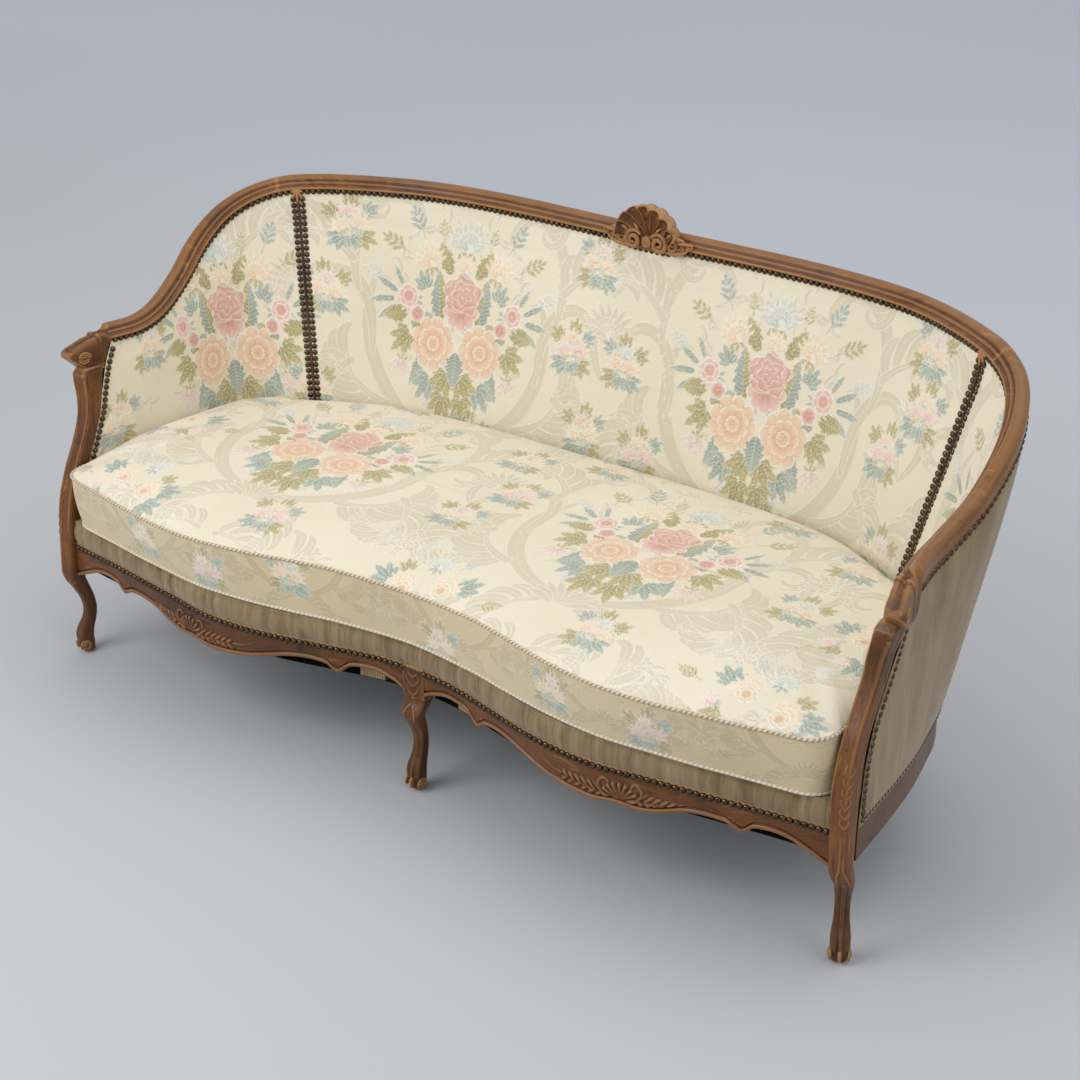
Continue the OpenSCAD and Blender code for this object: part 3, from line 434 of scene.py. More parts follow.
class Canvas:
    """Colour field over a rectangle, painted by formulas in small cells."""

    def __init__(self, x0, y0, x1, y1, layers=4):
        self.x0, self.y0 = x0, y0
        self.w = int(round((x1 - x0) / cell))
        self.h = int(round((y1 - y0) / cell))
        self.data = np.zeros((self.h, self.w, layers))

    def window(self, x, y, r):
        """Cells within r of a place, with their offsets from it."""
        i0 = max(0, int((x - r - self.x0) / cell))
        i1 = min(self.w, int((x + r - self.x0) / cell) + 2)
        j0 = max(0, int((y - r - self.y0) / cell))
        j1 = min(self.h, int((y + r - self.y0) / cell) + 2)
        if i0 >= i1 or j0 >= j1:
            return None
        gx = self.x0 + (np.arange(i0, i1) + 0.5) * cell - x
        gy = self.y0 + (np.arange(j0, j1) + 0.5) * cell - y
        return (slice(j0, j1), slice(i0, i1)), gx[None, :], gy[:, None]

    def sample(self, x, y):
        """Values at places, between the cells around them."""
        gx = np.clip((np.asarray(x) - self.x0) / cell - 0.5, 0, self.w - 1.001)
        gy = np.clip((np.asarray(y) - self.y0) / cell - 0.5, 0, self.h - 1.001)
        i, j = gx.astype(int), gy.astype(int)
        u, v = (gx - i)[..., None], (gy - j)[..., None]
        d = self.data
        near, far = d[j, i] * (1 - u) + d[j, i + 1] * u, d[j + 1, i] * (1 - u) + d[j + 1, i + 1] * u
        return near * (1 - v) + far * v

    def lay(self, where, colour, cover):
        """Lays a colour over the cells by its cover; the last layer keeps the cover."""
        part = self.data[where]
        c = cover[..., None]
        part[..., :3] = part[..., :3] * (1 - c) + np.asarray(colour) * c
        part[..., 3] = np.maximum(part[..., 3], cover)


def edge(d):
    """Cover that falls from 1 inside to 0 outside, where d is the distance inside."""
    return np.clip(d / edge_blur + 0.5, 0, 1)


def leaf(canvas, x, y, turn, length, width, hue, teeth=4, other=None):
    """Serrated leaf with pale outline and veins, growing from a place; its halves may differ."""
    got = canvas.window(x, y, length * 1.1)
    if got is None:
        return
    where, gx, gy = got
    c, s = math.cos(turn), math.sin(turn)
    a = (gx * c + gy * s) / length
    b = (-gx * s + gy * c)
    saw = 1 - 0.3 * ((a * teeth) % 1)
    half = width / 2 * np.sin(math.pi * np.clip(a, 0, 1) ** 0.75) ** 0.8 * saw
    inside = np.where((a > 0) & (a < 1), half - np.abs(b), -1)
    dark, pale = (np.array(v) for v in silk[hue])
    if other:
        dark = np.where((b > 0)[..., None], dark, np.array(silk[other][0]))
        pale = np.where((b > 0)[..., None], pale, np.array(silk[other][1]))
    vein = np.abs(((a * teeth * 2 - np.abs(b) / width * 3) % 1) - 0.5) < 0.13
    mid = np.abs(b) < mid_rib
    deep = np.clip(0.75 - 0.5 * a, 0, 1)[..., None]
    shade = np.where((vein | mid)[..., None], pale * 1.04, dark * deep + pale * (1 - deep))
    rim = (inside < leaf_rim)[..., None]
    shade = np.where(rim, np.array(cloth_line) * 0.6 + pale * 0.4, shade)
    canvas.lay(where, shade, edge(inside) * leaf_cover)


def lobed(canvas, x, y, turn, size, hue):
    """Broad leaf of five serrated lobes."""
    for swing, n in ((1.25, 0.62), (-1.25, 0.62), (0.62, 0.85), (-0.62, 0.85), (0.0, 1.0)):
        leaf(canvas, x, y, turn + swing, size * n, size * 0.46, hue, 3)


def thistle(canvas, x, y, turn, size, hue, green, petals):
    """Spiky open flower seen from its side: a fan of thin petals above a few narrow leaves."""
    stem_x, stem_y = x + 0.1 * size * math.cos(turn), y + 0.1 * size * math.sin(turn)
    for k in (-1, 0, 1):
        leaf(canvas, stem_x, stem_y, turn + math.pi + 0.75 * k, size * 0.55, size * 0.2, green, 2)
    for reach, spread, slim in ((1.0, 2.3, 0.24), (0.66, 1.7, 0.3)):
        for k in range(petals):
            a = (k / (petals - 1) - 0.5) * spread
            length = size * reach * (0.86 + 0.14 * math.cos(2 * a))
            leaf(canvas, x, y, turn + a, length, size * slim, hue, 1)


def flower(canvas, x, y, turn, r, hue, petals, rings=2):
    """Open flower: rings of petals with fine stripes and pale rims."""
    got = canvas.window(x, y, r * 1.1)
    if got is None:
        return
    where, gx, gy = got
    rho = np.hypot(gx, gy)
    theta = np.arctan2(gy, gx)
    dark, pale = (np.array(v) for v in silk[hue])
    for k in range(rings):
        size = r * (1 - 0.36 * k)
        phase = theta - turn + k * math.pi / petals
        lobe = np.abs(np.cos(phase * petals / 2)) ** 0.35
        limit = size * (0.62 + 0.38 * lobe)
        inside = limit - rho
        stripe = 0.5 + 0.5 * np.cos(theta * petals * 3 + 2.0 * np.sin(rho / r * 9))
        depth = np.clip(rho / limit, 0, 1)
        fold = np.abs(np.sin(phase * petals / 2)) ** 3
        tone = np.clip(0.75 * (1 - depth) ** 1.2 + 0.35 * stripe * (1 - depth) + 0.3 * fold + 0.1, 0, 1)
        shade = pale + (dark - pale) * tone[..., None]
        rim = (inside < petal_rim)[..., None]
        shade = np.where(rim, np.array(cloth_line), shade)
        canvas.lay(where, shade, edge(inside) * petal_cover)
    core = silk["apricot"]
    inside = r * 0.2 - rho
    speck = (np.cos(gx * 2200) * np.cos(gy * 2200) > 0)[..., None]
    canvas.lay(where, np.where(speck, np.array(core[0]), np.array(core[1])), edge(inside) * heart_cover)


def rose(canvas, x, y, turn, r, hue):
    """Full rose: wavy petals folded round a heart, above a fan of outer petals."""
    flower(canvas, x, y - 0.55 * r, turn - 0.4, r * 0.85, hue, 9, 1)
    got = canvas.window(x, y, r * 1.1)
    if got is None:
        return
    where, gx, gy = got
    gy = gy * 1.18
    rho = np.hypot(gx, gy)
    theta = np.arctan2(gy, gx) - turn
    dark, pale = (np.array(v) for v in silk[hue])
    limit = r * (0.86 + 0.1 * np.cos(5 * theta) + 0.04 * np.cos(9 * theta))
    inside = limit - rho
    spiral = (rho / r * 3.6 + theta / (2 * math.pi) + 0.3 * np.sin(5 * theta + 4 * rho / r)
        + 0.08 * np.sin(11 * theta)) % 1
    tone = 0.3 + 0.6 * spiral ** 1.2
    shade = pale + (dark - pale) * tone[..., None]
    shade = np.where(((spiral < 0.09) | (inside < rose_rim))[..., None], np.array(cloth_line), shade)
    canvas.lay(where, shade, edge(inside) * rose_cover)


def stem(canvas, points, width, hue):
    """Thin line through places."""
    p = np.asarray(points, float)
    mid = p.mean(0)
    reach = np.abs(p - mid).max() + width * 2
    got = canvas.window(mid[0], mid[1], reach)
    if got is None:
        return
    where, gx, gy = got
    near = np.full((gy.shape[0], gx.shape[1]), 1.0)
    for a, b in zip(p[:-1] - mid, p[1:] - mid):
        d = b - a
        t = np.clip(((gx - a[0]) * d[0] + (gy - a[1]) * d[1]) / (d @ d), 0, 1)
        near = np.minimum(near, np.hypot(gx - a[0] - t * d[0], gy - a[1] - t * d[1]))
    canvas.lay(where, np.array(silk[hue][0]), edge(width / 2 - near) * stem_cover)


def sprig(canvas, x, y, turn, size, hue, pairs=3):
    """Small stem with pairs of leaflets."""
    c, s = math.cos(turn), math.sin(turn)
    stem(canvas, [(x, y), (x + size * c, y + size * s)], 0.0012, hue)
    for k in range(pairs):
        t = 0.3 + 0.6 * k / pairs
        for side in (-1, 1):
            leaf(canvas, x + t * size * c, y + t * size * s, turn + side * 0.75,
                size * (0.42 - 0.06 * k), size * 0.16, hue, 2)
    leaf(canvas, x + 0.75 * size * c, y + 0.75 * size * s, turn, size * 0.35, size * 0.14, hue, 2)


both, once = (1, -1), (1,)


def facing(turn, way):
    """A heading, or its mirror image where way is -1."""
    return turn if way > 0 else math.pi - turn


def arrange(canvas, parts, x, y, size, grow, flip=1):
    """Paints rows of parts: sides, painter, place, heading in degrees, length and the painter's details."""
    for sides, paint, px, py, degrees, length, *details in parts:
        if paint is leaf:
            details[0] *= grow
        for side in sides:
            way = side * flip
            turn = facing(math.radians(degrees), way)
            paint(canvas, x + way * px * size, y + py * size, turn, length * grow, *details)


bouquet_parts = [(both, sprig, 0.098, 0.128, 62, 0.052, "blue"),
    (both, sprig, 0.128, 0.098, 30, 0.050, "olive"), (both, sprig, 0.055, 0.125, 80, 0.035, "olive"),
    (both, sprig, 0.165, 0.045, 20, 0.045, "mist"), (both, sprig, 0.05, -0.135, -80, 0.05, "mist"),
    (both, leaf, 0.150, 0.022, 30, 0.042, 0.0126, "blue", 2),
    (both, leaf, 0.155, 0.008, -5, 0.045, 0.0135, "blue", 2),
    (both, leaf, 0.150, -0.004, -35, 0.042, 0.0126, "blue", 2),
    (both, leaf, 0.138, 0.035, 62, 0.035, 0.0105, "blue", 2),
    (both, leaf, 0.075, -0.088, -65, 0.060, 0.024, "blue", 5),
    (both, lobed, 0.118, -0.058, -40, 0.044, "olive"),
    (both, leaf, 0.112, -0.040, 150, 0.045, 0.03, "blue", 4, "olive"),
    (both, leaf, 0.124, -0.016, -10, 0.042, 0.032, "olive"),
    (both, lobed, 0.060, -0.138, -55, 0.042, "blue"), (both, lobed, 0.018, -0.125, -62, 0.046, "olive"),
    (both, lobed, 0.022, -0.168, -75, 0.044, "olive"), (both, lobed, 0.086, 0.038, 60, 0.030, "blue"),
    (both, leaf, 0.014, -0.028, -60, 0.045, 0.022, "blue", 3),
    (both, leaf, 0.030, 0.070, 60, 0.052, 0.028, "olive"),
    (once, thistle, 0, 0.118, 90, 0.052, "mist", "olive", 9),
    (both, thistle, 0.078, 0.078, 75, 0.042, "apricot", "olive", 8),
    (once, thistle, 0, 0.078, 90, 0.034, "apricot", "blue", 7),
    (both, thistle, 0.106, 0.008, 15, 0.038, "rose", "blue", 8),
    (both, flower, 0.1242, 0.0158, 15, 0.018, "rose", 6),
    (both, flower, 0.100, -0.016, -50, 0.014, "rose", 5, 1),
    (once, sprig, 0.130, -0.0996, 11.673247, 0.024, "olive", 2),
    (once, sprig, -0.130, -0.0996, -8.326753, 0.024, "olive", 2),
    (both, thistle, 0.130, -0.110, -80, 0.034, "lilac", "olive", 6),
    (once, leaf, 0.046, -0.024, 82.864789, 0.078, 0.036, "olive", 6, "blue"),
    (once, leaf, -0.046, -0.024, 97.135211, 0.078, 0.036, "blue", 6, "olive"),
    (both, flower, 0.057, -0.068, 20, 0.042, "peach", 9, 3),
    (once, leaf, 0, -0.078, -90, 0.054, 0.038, "blue", 5),
    (once, rose, 0.002, 0.036, 17.188734, 0.040, "rose")]
spray_leaves = [(once, lobed, -0.012, -0.022, 200, 0.0323, "olive"),
    (once, lobed, 0.012, -0.022, -30, 0.0323, "blue"), (once, lobed, 0, -0.022, 250, 0.0247, "blue"),
    (once, lobed, -0.022, 0.016, 150, 0.0247, "blue"), (once, lobed, 0.024, 0.012, 40, 0.0266, "olive"),
    (once, lobed, 0, 0.026, 95, 0.0247, "olive")]
# Main and second colour of each kind of spray
spray_hues = [("peach", "lilac"), ("rose", "peach"), ("peach", "mist"), ("apricot", "rose")]
group_parts = [(once, sprig, -0.100, 0.005, 165, 0.05, "olive", 4),
    (once, sprig, -0.07, -0.045, 205, 0.04, "olive", 4), (once, sprig, 0.095, -0.06, -30, 0.05, "olive", 4),
    (once, sprig, 0.03, 0.085, 70, 0.04, "mist", 4), (once, sprig, -0.03, 0.06, 120, 0.035, "blue", 4),
    (once, lobed, -0.06, 0.026, 140, 0.042, "blue"), (once, lobed, 0.070, 0.004, 20, 0.042, "blue"),
    (once, lobed, 0.062, -0.032, -25, 0.046, "blue"), (once, lobed, -0.005, -0.045, -100, 0.046, "blue"),
    (once, lobed, 0.050, 0.030, 55, 0.03, "olive"), (once, lobed, -0.05, -0.03, 215, 0.034, "olive"),
    (once, thistle, 0.006, 0.050, 90, 0.042, "mist", "blue", 8),
    (once, thistle, -0.030, 0.012, 115, 0.044, "apricot", "olive", 8),
    (once, thistle, 0.036, -0.006, 60, 0.044, "apricot", "blue", 8),
    (once, thistle, -0.062, -0.022, 170, 0.030, "rose", "blue", 8),
    (once, thistle, 0.018, -0.060, -60, 0.030, "rose", "blue", 8),
    (once, thistle, -0.025, -0.050, 250, 0.026, "rose", "olive", 8)]


def bouquet(canvas, x, y, size=1.0):
    """Large bouquet, 0.36 across: a rose over two open flowers, blossoms around them, leaves below."""
    arrange(canvas, bouquet_parts, x + 0.003 * size, y, size, 1.3 * size)


def spray(canvas, x, y, size, kind, flip):
    """Small group of spiky flowers and leaves, about 0.09 across."""
    main, second = spray_hues[kind % 4]
    flowers = [(once, thistle, 0.004, 0.010, 80, 0.026, second, "blue", 6),
        (once, thistle, -0.010, -0.010, 110, 0.030, main, "blue", 6),
        (once, thistle, 0.013, -0.012, 60, 0.028, main, "olive", 6)]
    arrange(canvas, spray_leaves + flowers, x, y, size, size, flip)


def group(canvas, x, y, size, flip):
    """Wider group of flowers and large leaves, about 0.24 across."""
    arrange(canvas, group_parts, x, y, size, size, flip)
    for px, py in ((-0.030, 0.012), (0.036, -0.006)):
        flower(canvas, x + flip * px * size, y + py * size, 0.4, 0.017 * size, "apricot", 6)


def brush(field, points, widths, profile):
    """Highest value of a round brush that runs along a line, over a window of the field."""
    p = np.asarray(points, float)
    w = np.broadcast_to(np.asarray(widths, float), len(p))
    mid = (p.max(0) + p.min(0)) / 2
    reach = np.abs(p - mid).max() + w.max() + 0.004
    got = field.window(mid[0], mid[1], reach)
    if got is None:
        return None
    where, gx, gy = got
    best = np.full((gy.shape[0], gx.shape[1]), -1.0)
    for (ax, ay), r in zip(p - mid, w):
        j0, j1 = np.searchsorted(gy[:, 0], (ay - r - 0.003, ay + r + 0.003))
        i0, i1 = np.searchsorted(gx[0], (ax - r - 0.003, ax + r + 0.003))
        d = np.hypot(gx[:, i0:i1] - ax, gy[j0:j1] - ay)
        best[j0:j1, i0:i1] = np.maximum(best[j0:j1, i0:i1], profile(d, r))
    return where, best


def ribbon(field, points, widths):
    """Tone-on-tone band with tapering width: layer 0 is its body, layer 1 its light edge."""
    got = brush(field, points, widths, lambda d, r: r - d)
    if got is None:
        return
    where, best = got
    fill = edge(best)
    rim = np.clip(1 - np.abs(best - 0.0006) / damask_rim, 0, 1)
    part = field.data[where]
    part[..., 0] = np.maximum(part[..., 0], fill)
    part[..., 1] = np.maximum(part[..., 1] * (1 - fill * (best > 0.0016)), rim)


def thread(field, points):
    """Fine light line of the damask."""
    got = brush(field, points, thread_r, lambda d, r: r - d)
    if got is None:
        return
    where, best = got
    part = field.data[where]
    part[..., 1] = np.maximum(part[..., 1], edge(best) * 0.8)


def ridge(field, points, widths, height=1.0):
    """Carved band with a round top, as high as a share of its half width."""
    got = brush(field, points, widths, lambda d, r: np.sqrt(np.clip(1 - (d / r) ** 2, 0, 1)) * r * height)
    if got is None:
        return
    where, best = got
    field.data[where][..., 0] = np.maximum(field.data[where][..., 0], best)


def arc_headings(turn, bend, count, curl):
    return turn + bend * np.linspace(0, 1, count) + curl * np.linspace(0, 1, count) ** 3


def arc_points(x, y, turn, length, bend, count=60, curl=0.0):
    """Places along a curve that turns by bend and then curls up."""
    heading = arc_headings(turn, bend, count, curl)[:-1]
    step = length / (count - 1)
    return np.stack([x + np.concatenate([[0], np.cumsum(np.cos(heading) * step)]),
        y + np.concatenate([[0], np.cumsum(np.sin(heading) * step)])], -1)


def bulge(count, start, end, power=1.0):
    """Shares of a width along a strand that swells and tapers like a part of a sine."""
    return np.sin(math.pi * np.linspace(start, end, count)) ** power


def carve(field, at, turn, length, bend, curl, width, end, height, count, way=1):
    """Carved strand that curls, its half width falling to a share at its end; way -1 mirrors its heading."""
    line = arc_points(*at, facing(turn, way), length, way * bend, count, way * curl)
    ridge(field, line, width * np.linspace(1, end, count), height)


def acanthus(tile, x, y, turn, size, bend, lobes, flip):
    """Broad leaf scroll: fat lobes fan off one side of a curved rib, biggest in the middle."""
    mirror = np.array([flip, 1])
    points = arc_points(x, y, turn, size, bend, 60, bend * 0.8)
    heading = arc_headings(turn, bend, 60, bend * 0.8)
    way = 1 if bend > 0 else -1
    for k in range(lobes):
        t = k / (lobes - 1)
        i = int(4 + 50 * t)
        n = size * (0.42 + 0.30 * math.sin(math.pi * (0.15 + 0.75 * t)))
        lobe = arc_points(*points[i], heading[i] - way * (1.35 - 0.75 * t), n, way * 1.1, 30, way * 0.9)
        ribbon(tile, lobe * mirror, size * 0.085 * bulge(30, 0.12, 0.93, 0.7) + 0.0006)
        thread(tile, lobe[3:-5] * mirror)
    ribbon(tile, points * mirror, size * 0.06 * np.linspace(1.1, 0.35, 60))
    thread(tile, points[4:-6] * mirror)


def volute_scroll(tile, x, y, turn, length, bend, curl, width, flip):
    """Smooth C-scroll that ends in a spiral, thick in its middle."""
    points = arc_points(x, y, turn, length, bend, 110, curl)
    t = np.linspace(0, 1, 110)
    ribbon(tile, points * [flip, 1], width * (0.3 + 0.7 * np.sin(math.pi * np.clip(t * 0.9 + 0.08, 0, 1))))
    thread(tile, points[6:-10] * [flip, 1])


# Width and height of the damask's repeat
repeat_w, repeat_h = 0.71, 0.66
# Large scrolls: place, heading, length, bend, curl and width
damask_scrolls = [[0.03, -0.245, 0.15, 0.40, 1.9, 0.0, 0.017], [0.20, -0.10, 1.6, 0.30, -0.5, -5.2, 0.014],
    [0.23, 0.02, 1.35, 0.34, 1.2, 3.6, 0.014], [0.09, 0.245, 0.1, 0.24, -0.6, -4.8, 0.011],
    [0.355, -0.06, 2.3, 0.20, -1.3, -4.6, 0.012], [0.355, 0.10, 0.9, 0.24, 1.4, 4.4, 0.012]]
# Leaf scrolls: place, heading, size, bend and number of lobes
damask_leaves = [[0.16, -0.20, 0.2, 0.15, 0.9, 7], [0.25, -0.12, -0.6, 0.13, -0.8, 6],
    [0.24, 0.08, 0.9, 0.14, -0.8, 6], [0.15, 0.20, 0.7, 0.13, 0.9, 6], [0.355, 0.16, 1.2, 0.13, -0.6, 6],
    [0.355, -0.20, -0.7, 0.11, 0.7, 6], [0.04, -0.27, -0.4, 0.12, -0.9, 6],
    [0.02, 0.28, 0.3, 0.10, -0.9, 5]]
# Small scrolls between the large ones: place, heading, length, bend and curl
filler_scrolls = [[0.06, -0.10, 1.2, 0.11, 0.8, 3.2], [0.10, 0.02, 0.4, 0.12, 1.0, 3.4],
    [0.04, 0.10, 1.9, 0.10, -0.9, -3.2], [0.12, 0.13, 2.4, 0.10, 0.8, 3.0],
    [0.17, -0.03, 2.6, 0.09, -0.9, -3.4], [0.28, -0.02, 0.2, 0.08, 1.1, 3.4],
    [0.30, 0.28, 2.2, 0.11, 0.9, 3.3], [0.20, 0.30, 0.6, 0.09, -1.0, -3.2],
    [0.29, -0.28, 0.9, 0.10, -0.9, -3.3], [0.10, -0.17, 2.2, 0.09, 0.9, 3.1],
    [0.33, -0.12, 2.8, 0.08, 0.9, 3.2], [0.02, 0.20, 0.6, 0.07, -1.0, -3.0]]


def damask_tile():
    """One repeat of the scroll damask: layer 0 is its figure, layer 1 the fine light line."""
    big = Canvas(-repeat_w, -repeat_h, repeat_w, repeat_h, 2)
    for flip in (1, -1):
        for row in damask_scrolls:
            volute_scroll(big, *row, flip)
        for row in damask_leaves:
            acanthus(big, *row, flip)
        for x, y, turn, n, bend, curl in filler_scrolls:
            line = arc_points(x, y, turn, n, bend, 60, curl)
            ribbon(big, line * [flip, 1], 0.0052 * bulge(60, 0.1, 0.97, 0.6))
            for k in (12, 26, 40):
                side = arc_points(*line[k], turn + bend * k / 60 + 0.9, n * 0.42, -1.1, 24, -1.4)
                ribbon(big, side * [flip, 1], 0.0042 * bulge(24, 0.12, 0.95) + 0.0004)
        # Two fans: x and its step, y, step of the heading, length and its step, bend and width
        for x, dx, y, fan, n, dn, bend, width in ((0, 0.004, -0.27, 0.26, 0.075, 0.004, -0.5, 0.0075),
                (0.355, 0, 0.02, 0.3, 0.07, 0, -0.4, 0.007)):
            for k in range(5):
                line = arc_points(x + dx * k, y, math.pi / 2 - fan * k, n - dn * k, bend, 30)
                ribbon(big, line * [flip, 1], width * bulge(30, 0.1, 0.95) + 0.0006)
    rows, cols = int(round(repeat_h / cell)), int(round(repeat_w / cell))
    out = np.zeros((rows, cols, 2))
    for j in (0, rows):
        for i in (0, cols):
            out = np.maximum(out, big.data[j:j + rows, i:i + cols])
    y, x = np.mgrid[:rows, :cols]
    out[..., 0] *= 0.72 + 0.28 * (((x + y) // 2) % 2)
    return out


def cloth(canvas, tile, x, y, ground, figure, line):
    """Fills a canvas with the damask, its repeat's middle at a place."""
    th, tw = tile.shape[:2]
    i = (np.round((canvas.x0 - x) / cell).astype(int) + np.arange(canvas.w)) % tw
    j = (np.round((canvas.y0 - y) / cell).astype(int) + np.arange(canvas.h)) % th
    fig, rim = (tile[j[:, None], i[None, :], layer] for layer in (0, 1))
    g, f, n = (np.asarray(v) for v in (ground, figure, line))
    base = g + (f - g) * fig[..., None] * 0.62
    canvas.data[..., :3] = base + (n - base) * rim[..., None] * 0.95
    canvas.data[..., 3] = 0.35 * fig + 0.4 * rim

# Materials


def new_material(name):
    m = bpy.data.materials.new(name)
    m.use_nodes = True
    tree = m.node_tree
    return m, tree, tree.nodes["Principled BSDF"]


def node(tree, kind, inputs=(), **settings):
    n = tree.nodes.new(kind)
    for key, value in settings.items():
        setattr(n, key, value)
    for key, value in dict(inputs).items():
        if isinstance(value, bpy.types.NodeSocket):
            tree.links.new(value, n.inputs[key])
        else:
            n.inputs[key].default_value = value
    return n


def ramp(tree, fac, stops):
    """Colour ramp through (position, colour) pairs."""
    r = node(tree, "ShaderNodeValToRGB", {"Fac": fac})
    e = r.color_ramp.elements
    while len(e) < len(stops):
        e.new(0.5)
    for item, (at, colour) in zip(e, stops):
        item.position = at
        item.color = (*colour, 1)
    return r.outputs["Color"]


def blend(tree, fac, a, b, kind="MIX"):
    """Mixes two colours; each may be a socket or plain numbers."""
    n = node(tree, "ShaderNodeMix", {"Factor": fac}, data_type="RGBA", blend_type=kind)
    for key, value in ((6, a), (7, b)):
        if isinstance(value, bpy.types.NodeSocket):
            tree.links.new(value, n.inputs[key])
        else:
            n.inputs[key].default_value = (*value, 1)
    return n.outputs[2]


def maths(tree, kind, a, b=0.0):
    return node(tree, "ShaderNodeMath", {0: a, 1: b}, operation=kind).outputs[0]


def place(tree, scale=(1, 1, 1)):
    """Position in the part's frame, scaled along each axis."""
    t = node(tree, "ShaderNodeTexCoord")
    return node(tree, "ShaderNodeMapping", {"Vector": t.outputs["Object"], "Scale": scale}).outputs["Vector"]


def noise(tree, scale, detail=4.0, rough=0.55, distortion=0.0, grain=(1, 1, 1)):
    return node(tree, "ShaderNodeTexNoise", {"Vector": place(tree, grain), "Scale": scale, "Detail": detail,
        "Roughness": rough, "Distortion": distortion}).outputs["Fac"]


def wave(tree, scale, distortion, way):
    return node(tree, "ShaderNodeTexWave", {"Vector": place(tree), "Scale": scale, "Distortion": distortion},
        bands_direction=way).outputs["Fac"]


def bump(tree, shader, height, strength, distance):
    b = node(tree, "ShaderNodeBump", {"Height": height, "Strength": strength, "Distance": distance})
    tree.links.new(b.outputs["Normal"], shader.inputs["Normal"])


def rescale(tree, value, low, high, to_high, to_low=0.0):
    """Takes the range from low to high to the range from to_low to to_high."""
    return node(tree, "ShaderNodeMapRange", {"Value": value, "From Min": low, "From Max": high,
        "To Min": to_low, "To Max": to_high}).outputs[0]


def finish(shader, **numbers):
    names = {"rough": "Roughness", "sheen": "Sheen Weight", "sheen_rough": "Sheen Roughness",
        "coat": "Coat Weight", "coat_rough": "Coat Roughness", "metal": "Metallic",
        "spec": "Specular IOR Level"}
    for key, value in numbers.items():
        shader.inputs[names[key]].default_value = value


white = (1.0, 1.0, 1.0)


def wood(name, dark, mid, light, grain, wear_and_highlight=0.65, gloss=0.3, foot=False):
    """Waxed wood: streaked grain, painted shade in its hollows, lighter edges that are partly wear and
    partly painted highlight, and with foot painted shade towards the floor.
    """
    m, tree, shader = new_material(name)
    streak = noise(tree, 9.0, 7.0, 0.62, 0.9, grain=grain)
    broad = noise(tree, 6.0, 3.0)
    pores = noise(tree, 60.0, 2.0, grain=tuple(6 * g for g in grain))
    colour = ramp(tree, streak, [(0.28, dark), (0.46, mid), (0.6, mid), (0.8, light)])
    colour = blend(tree, rescale(tree, broad, 0.46, 0.68, 0.8), colour, tuple(1.3 * c for c in dark))
    # With foot, the colour darkens towards the floor: painted shade low on the legs
    if foot:
        rise = node(tree, "ShaderNodeSeparateXYZ", {"Vector": place(tree, (1, 1, 4))}).outputs["Z"]
        leg_shade = ramp(tree, rise, [(0.2, (0.55, 0.52, 0.50)), (0.9, white)])
        colour = blend(tree, 1.0, colour, leg_shade, "MULTIPLY")
    edges = node(tree, "ShaderNodeNewGeometry").outputs["Pointiness"]
    # Lighter where the surface is pointed: partly wear, partly painted highlight
    colour = blend(tree, rescale(tree, edges, 0.505, 0.56, wear_and_highlight), colour, light)
    # Darker where the surface is sunken: painted shade in the hollows
    colour = blend(tree, rescale(tree, edges, 0.49, 0.43, 0.9), colour, tuple(0.45 * c for c in dark))
    tree.links.new(colour, shader.inputs["Base Color"])
    tree.links.new(rescale(tree, streak, 0.0, 1.0, gloss + 0.16, gloss), shader.inputs["Roughness"])
    finish(shader, coat=0.22, coat_rough=0.16, spec=0.22)
    bump(tree, shader, pores, 0.12, 0.0006)
    return m


def brocade_material(name):
    """Silk brocade: its colours are woven in, on the cushion's boxing with painted shade, with a raised
    figure and fine ribs of thread.
    """
    m, tree, shader = new_material(name)
    woven = node(tree, "ShaderNodeAttribute", attribute_name="woven")
    cloud = noise(tree, 3.0, 2.0)
    slub = noise(tree, 260.0, 2.0, grain=(1, 1, 12))
    tone = ramp(tree, cloud, [(0.3, (0.93, 0.92, 0.90)), (0.7, white)])
    colour = blend(tree, 1.0, woven.outputs["Color"], tone, "MULTIPLY")
    fibre = ramp(tree, slub, [(0.3, (0.9, 0.9, 0.88)), (0.65, white)])
    colour = blend(tree, 0.6, colour, fibre, "MULTIPLY")
    tree.links.new(colour, shader.inputs["Base Color"])
    rib = wave(tree, 420.0, 1.2, "DIAGONAL")
    raised = maths(tree, "MULTIPLY", woven.outputs["Alpha"], 1.3)
    height = maths(tree, "ADD", maths(tree, "MULTIPLY", rib, 0.35), raised)
    height = maths(tree, "ADD", height, maths(tree, "MULTIPLY", slub, 0.3))
    bump(tree, shader, height, 0.6, 0.0009)
    finish(shader, rough=0.44, sheen=0.3, sheen_rough=0.35, spec=0.5)
    return m


def velvet_material(name, dark, mid, light, grain, scale, sheen):
    """Worn velvet: streaked pile with a soft sheen."""
    m, tree, shader = new_material(name)
    streak = noise(tree, scale, 5.0, 0.6, 0.6, grain=grain)
    fine = noise(tree, scale * 5, 3.0, grain=tuple(4 * g for g in grain))
    patch = noise(tree, 4.0, 2.0)
    colour = ramp(tree, streak, [(0.3, dark), (0.5, mid), (0.72, light)])
    colour = blend(tree, maths(tree, "MULTIPLY", patch, 0.5), colour, mid)
    pile = ramp(tree, fine, [(0.3, (0.78, 0.78, 0.78)), (0.7, (1.12, 1.12, 1.12))])
    colour = blend(tree, 0.5, colour, pile, "MULTIPLY")
    tree.links.new(colour, shader.inputs["Base Color"])
    bump(tree, shader, fine, 0.3, 0.0008)
    finish(shader, rough=0.85, sheen=sheen, sheen_rough=0.45, spec=0.2)
    return m


def metal_material(name, dark, light, rough):
    m, tree, shader = new_material(name)
    patch = noise(tree, 240.0, 3.0)
    tree.links.new(ramp(tree, patch, [(0.32, dark), (0.66, light)]), shader.inputs["Base Color"])
    finish(shader, rough=rough, metal=1.0)
    return m


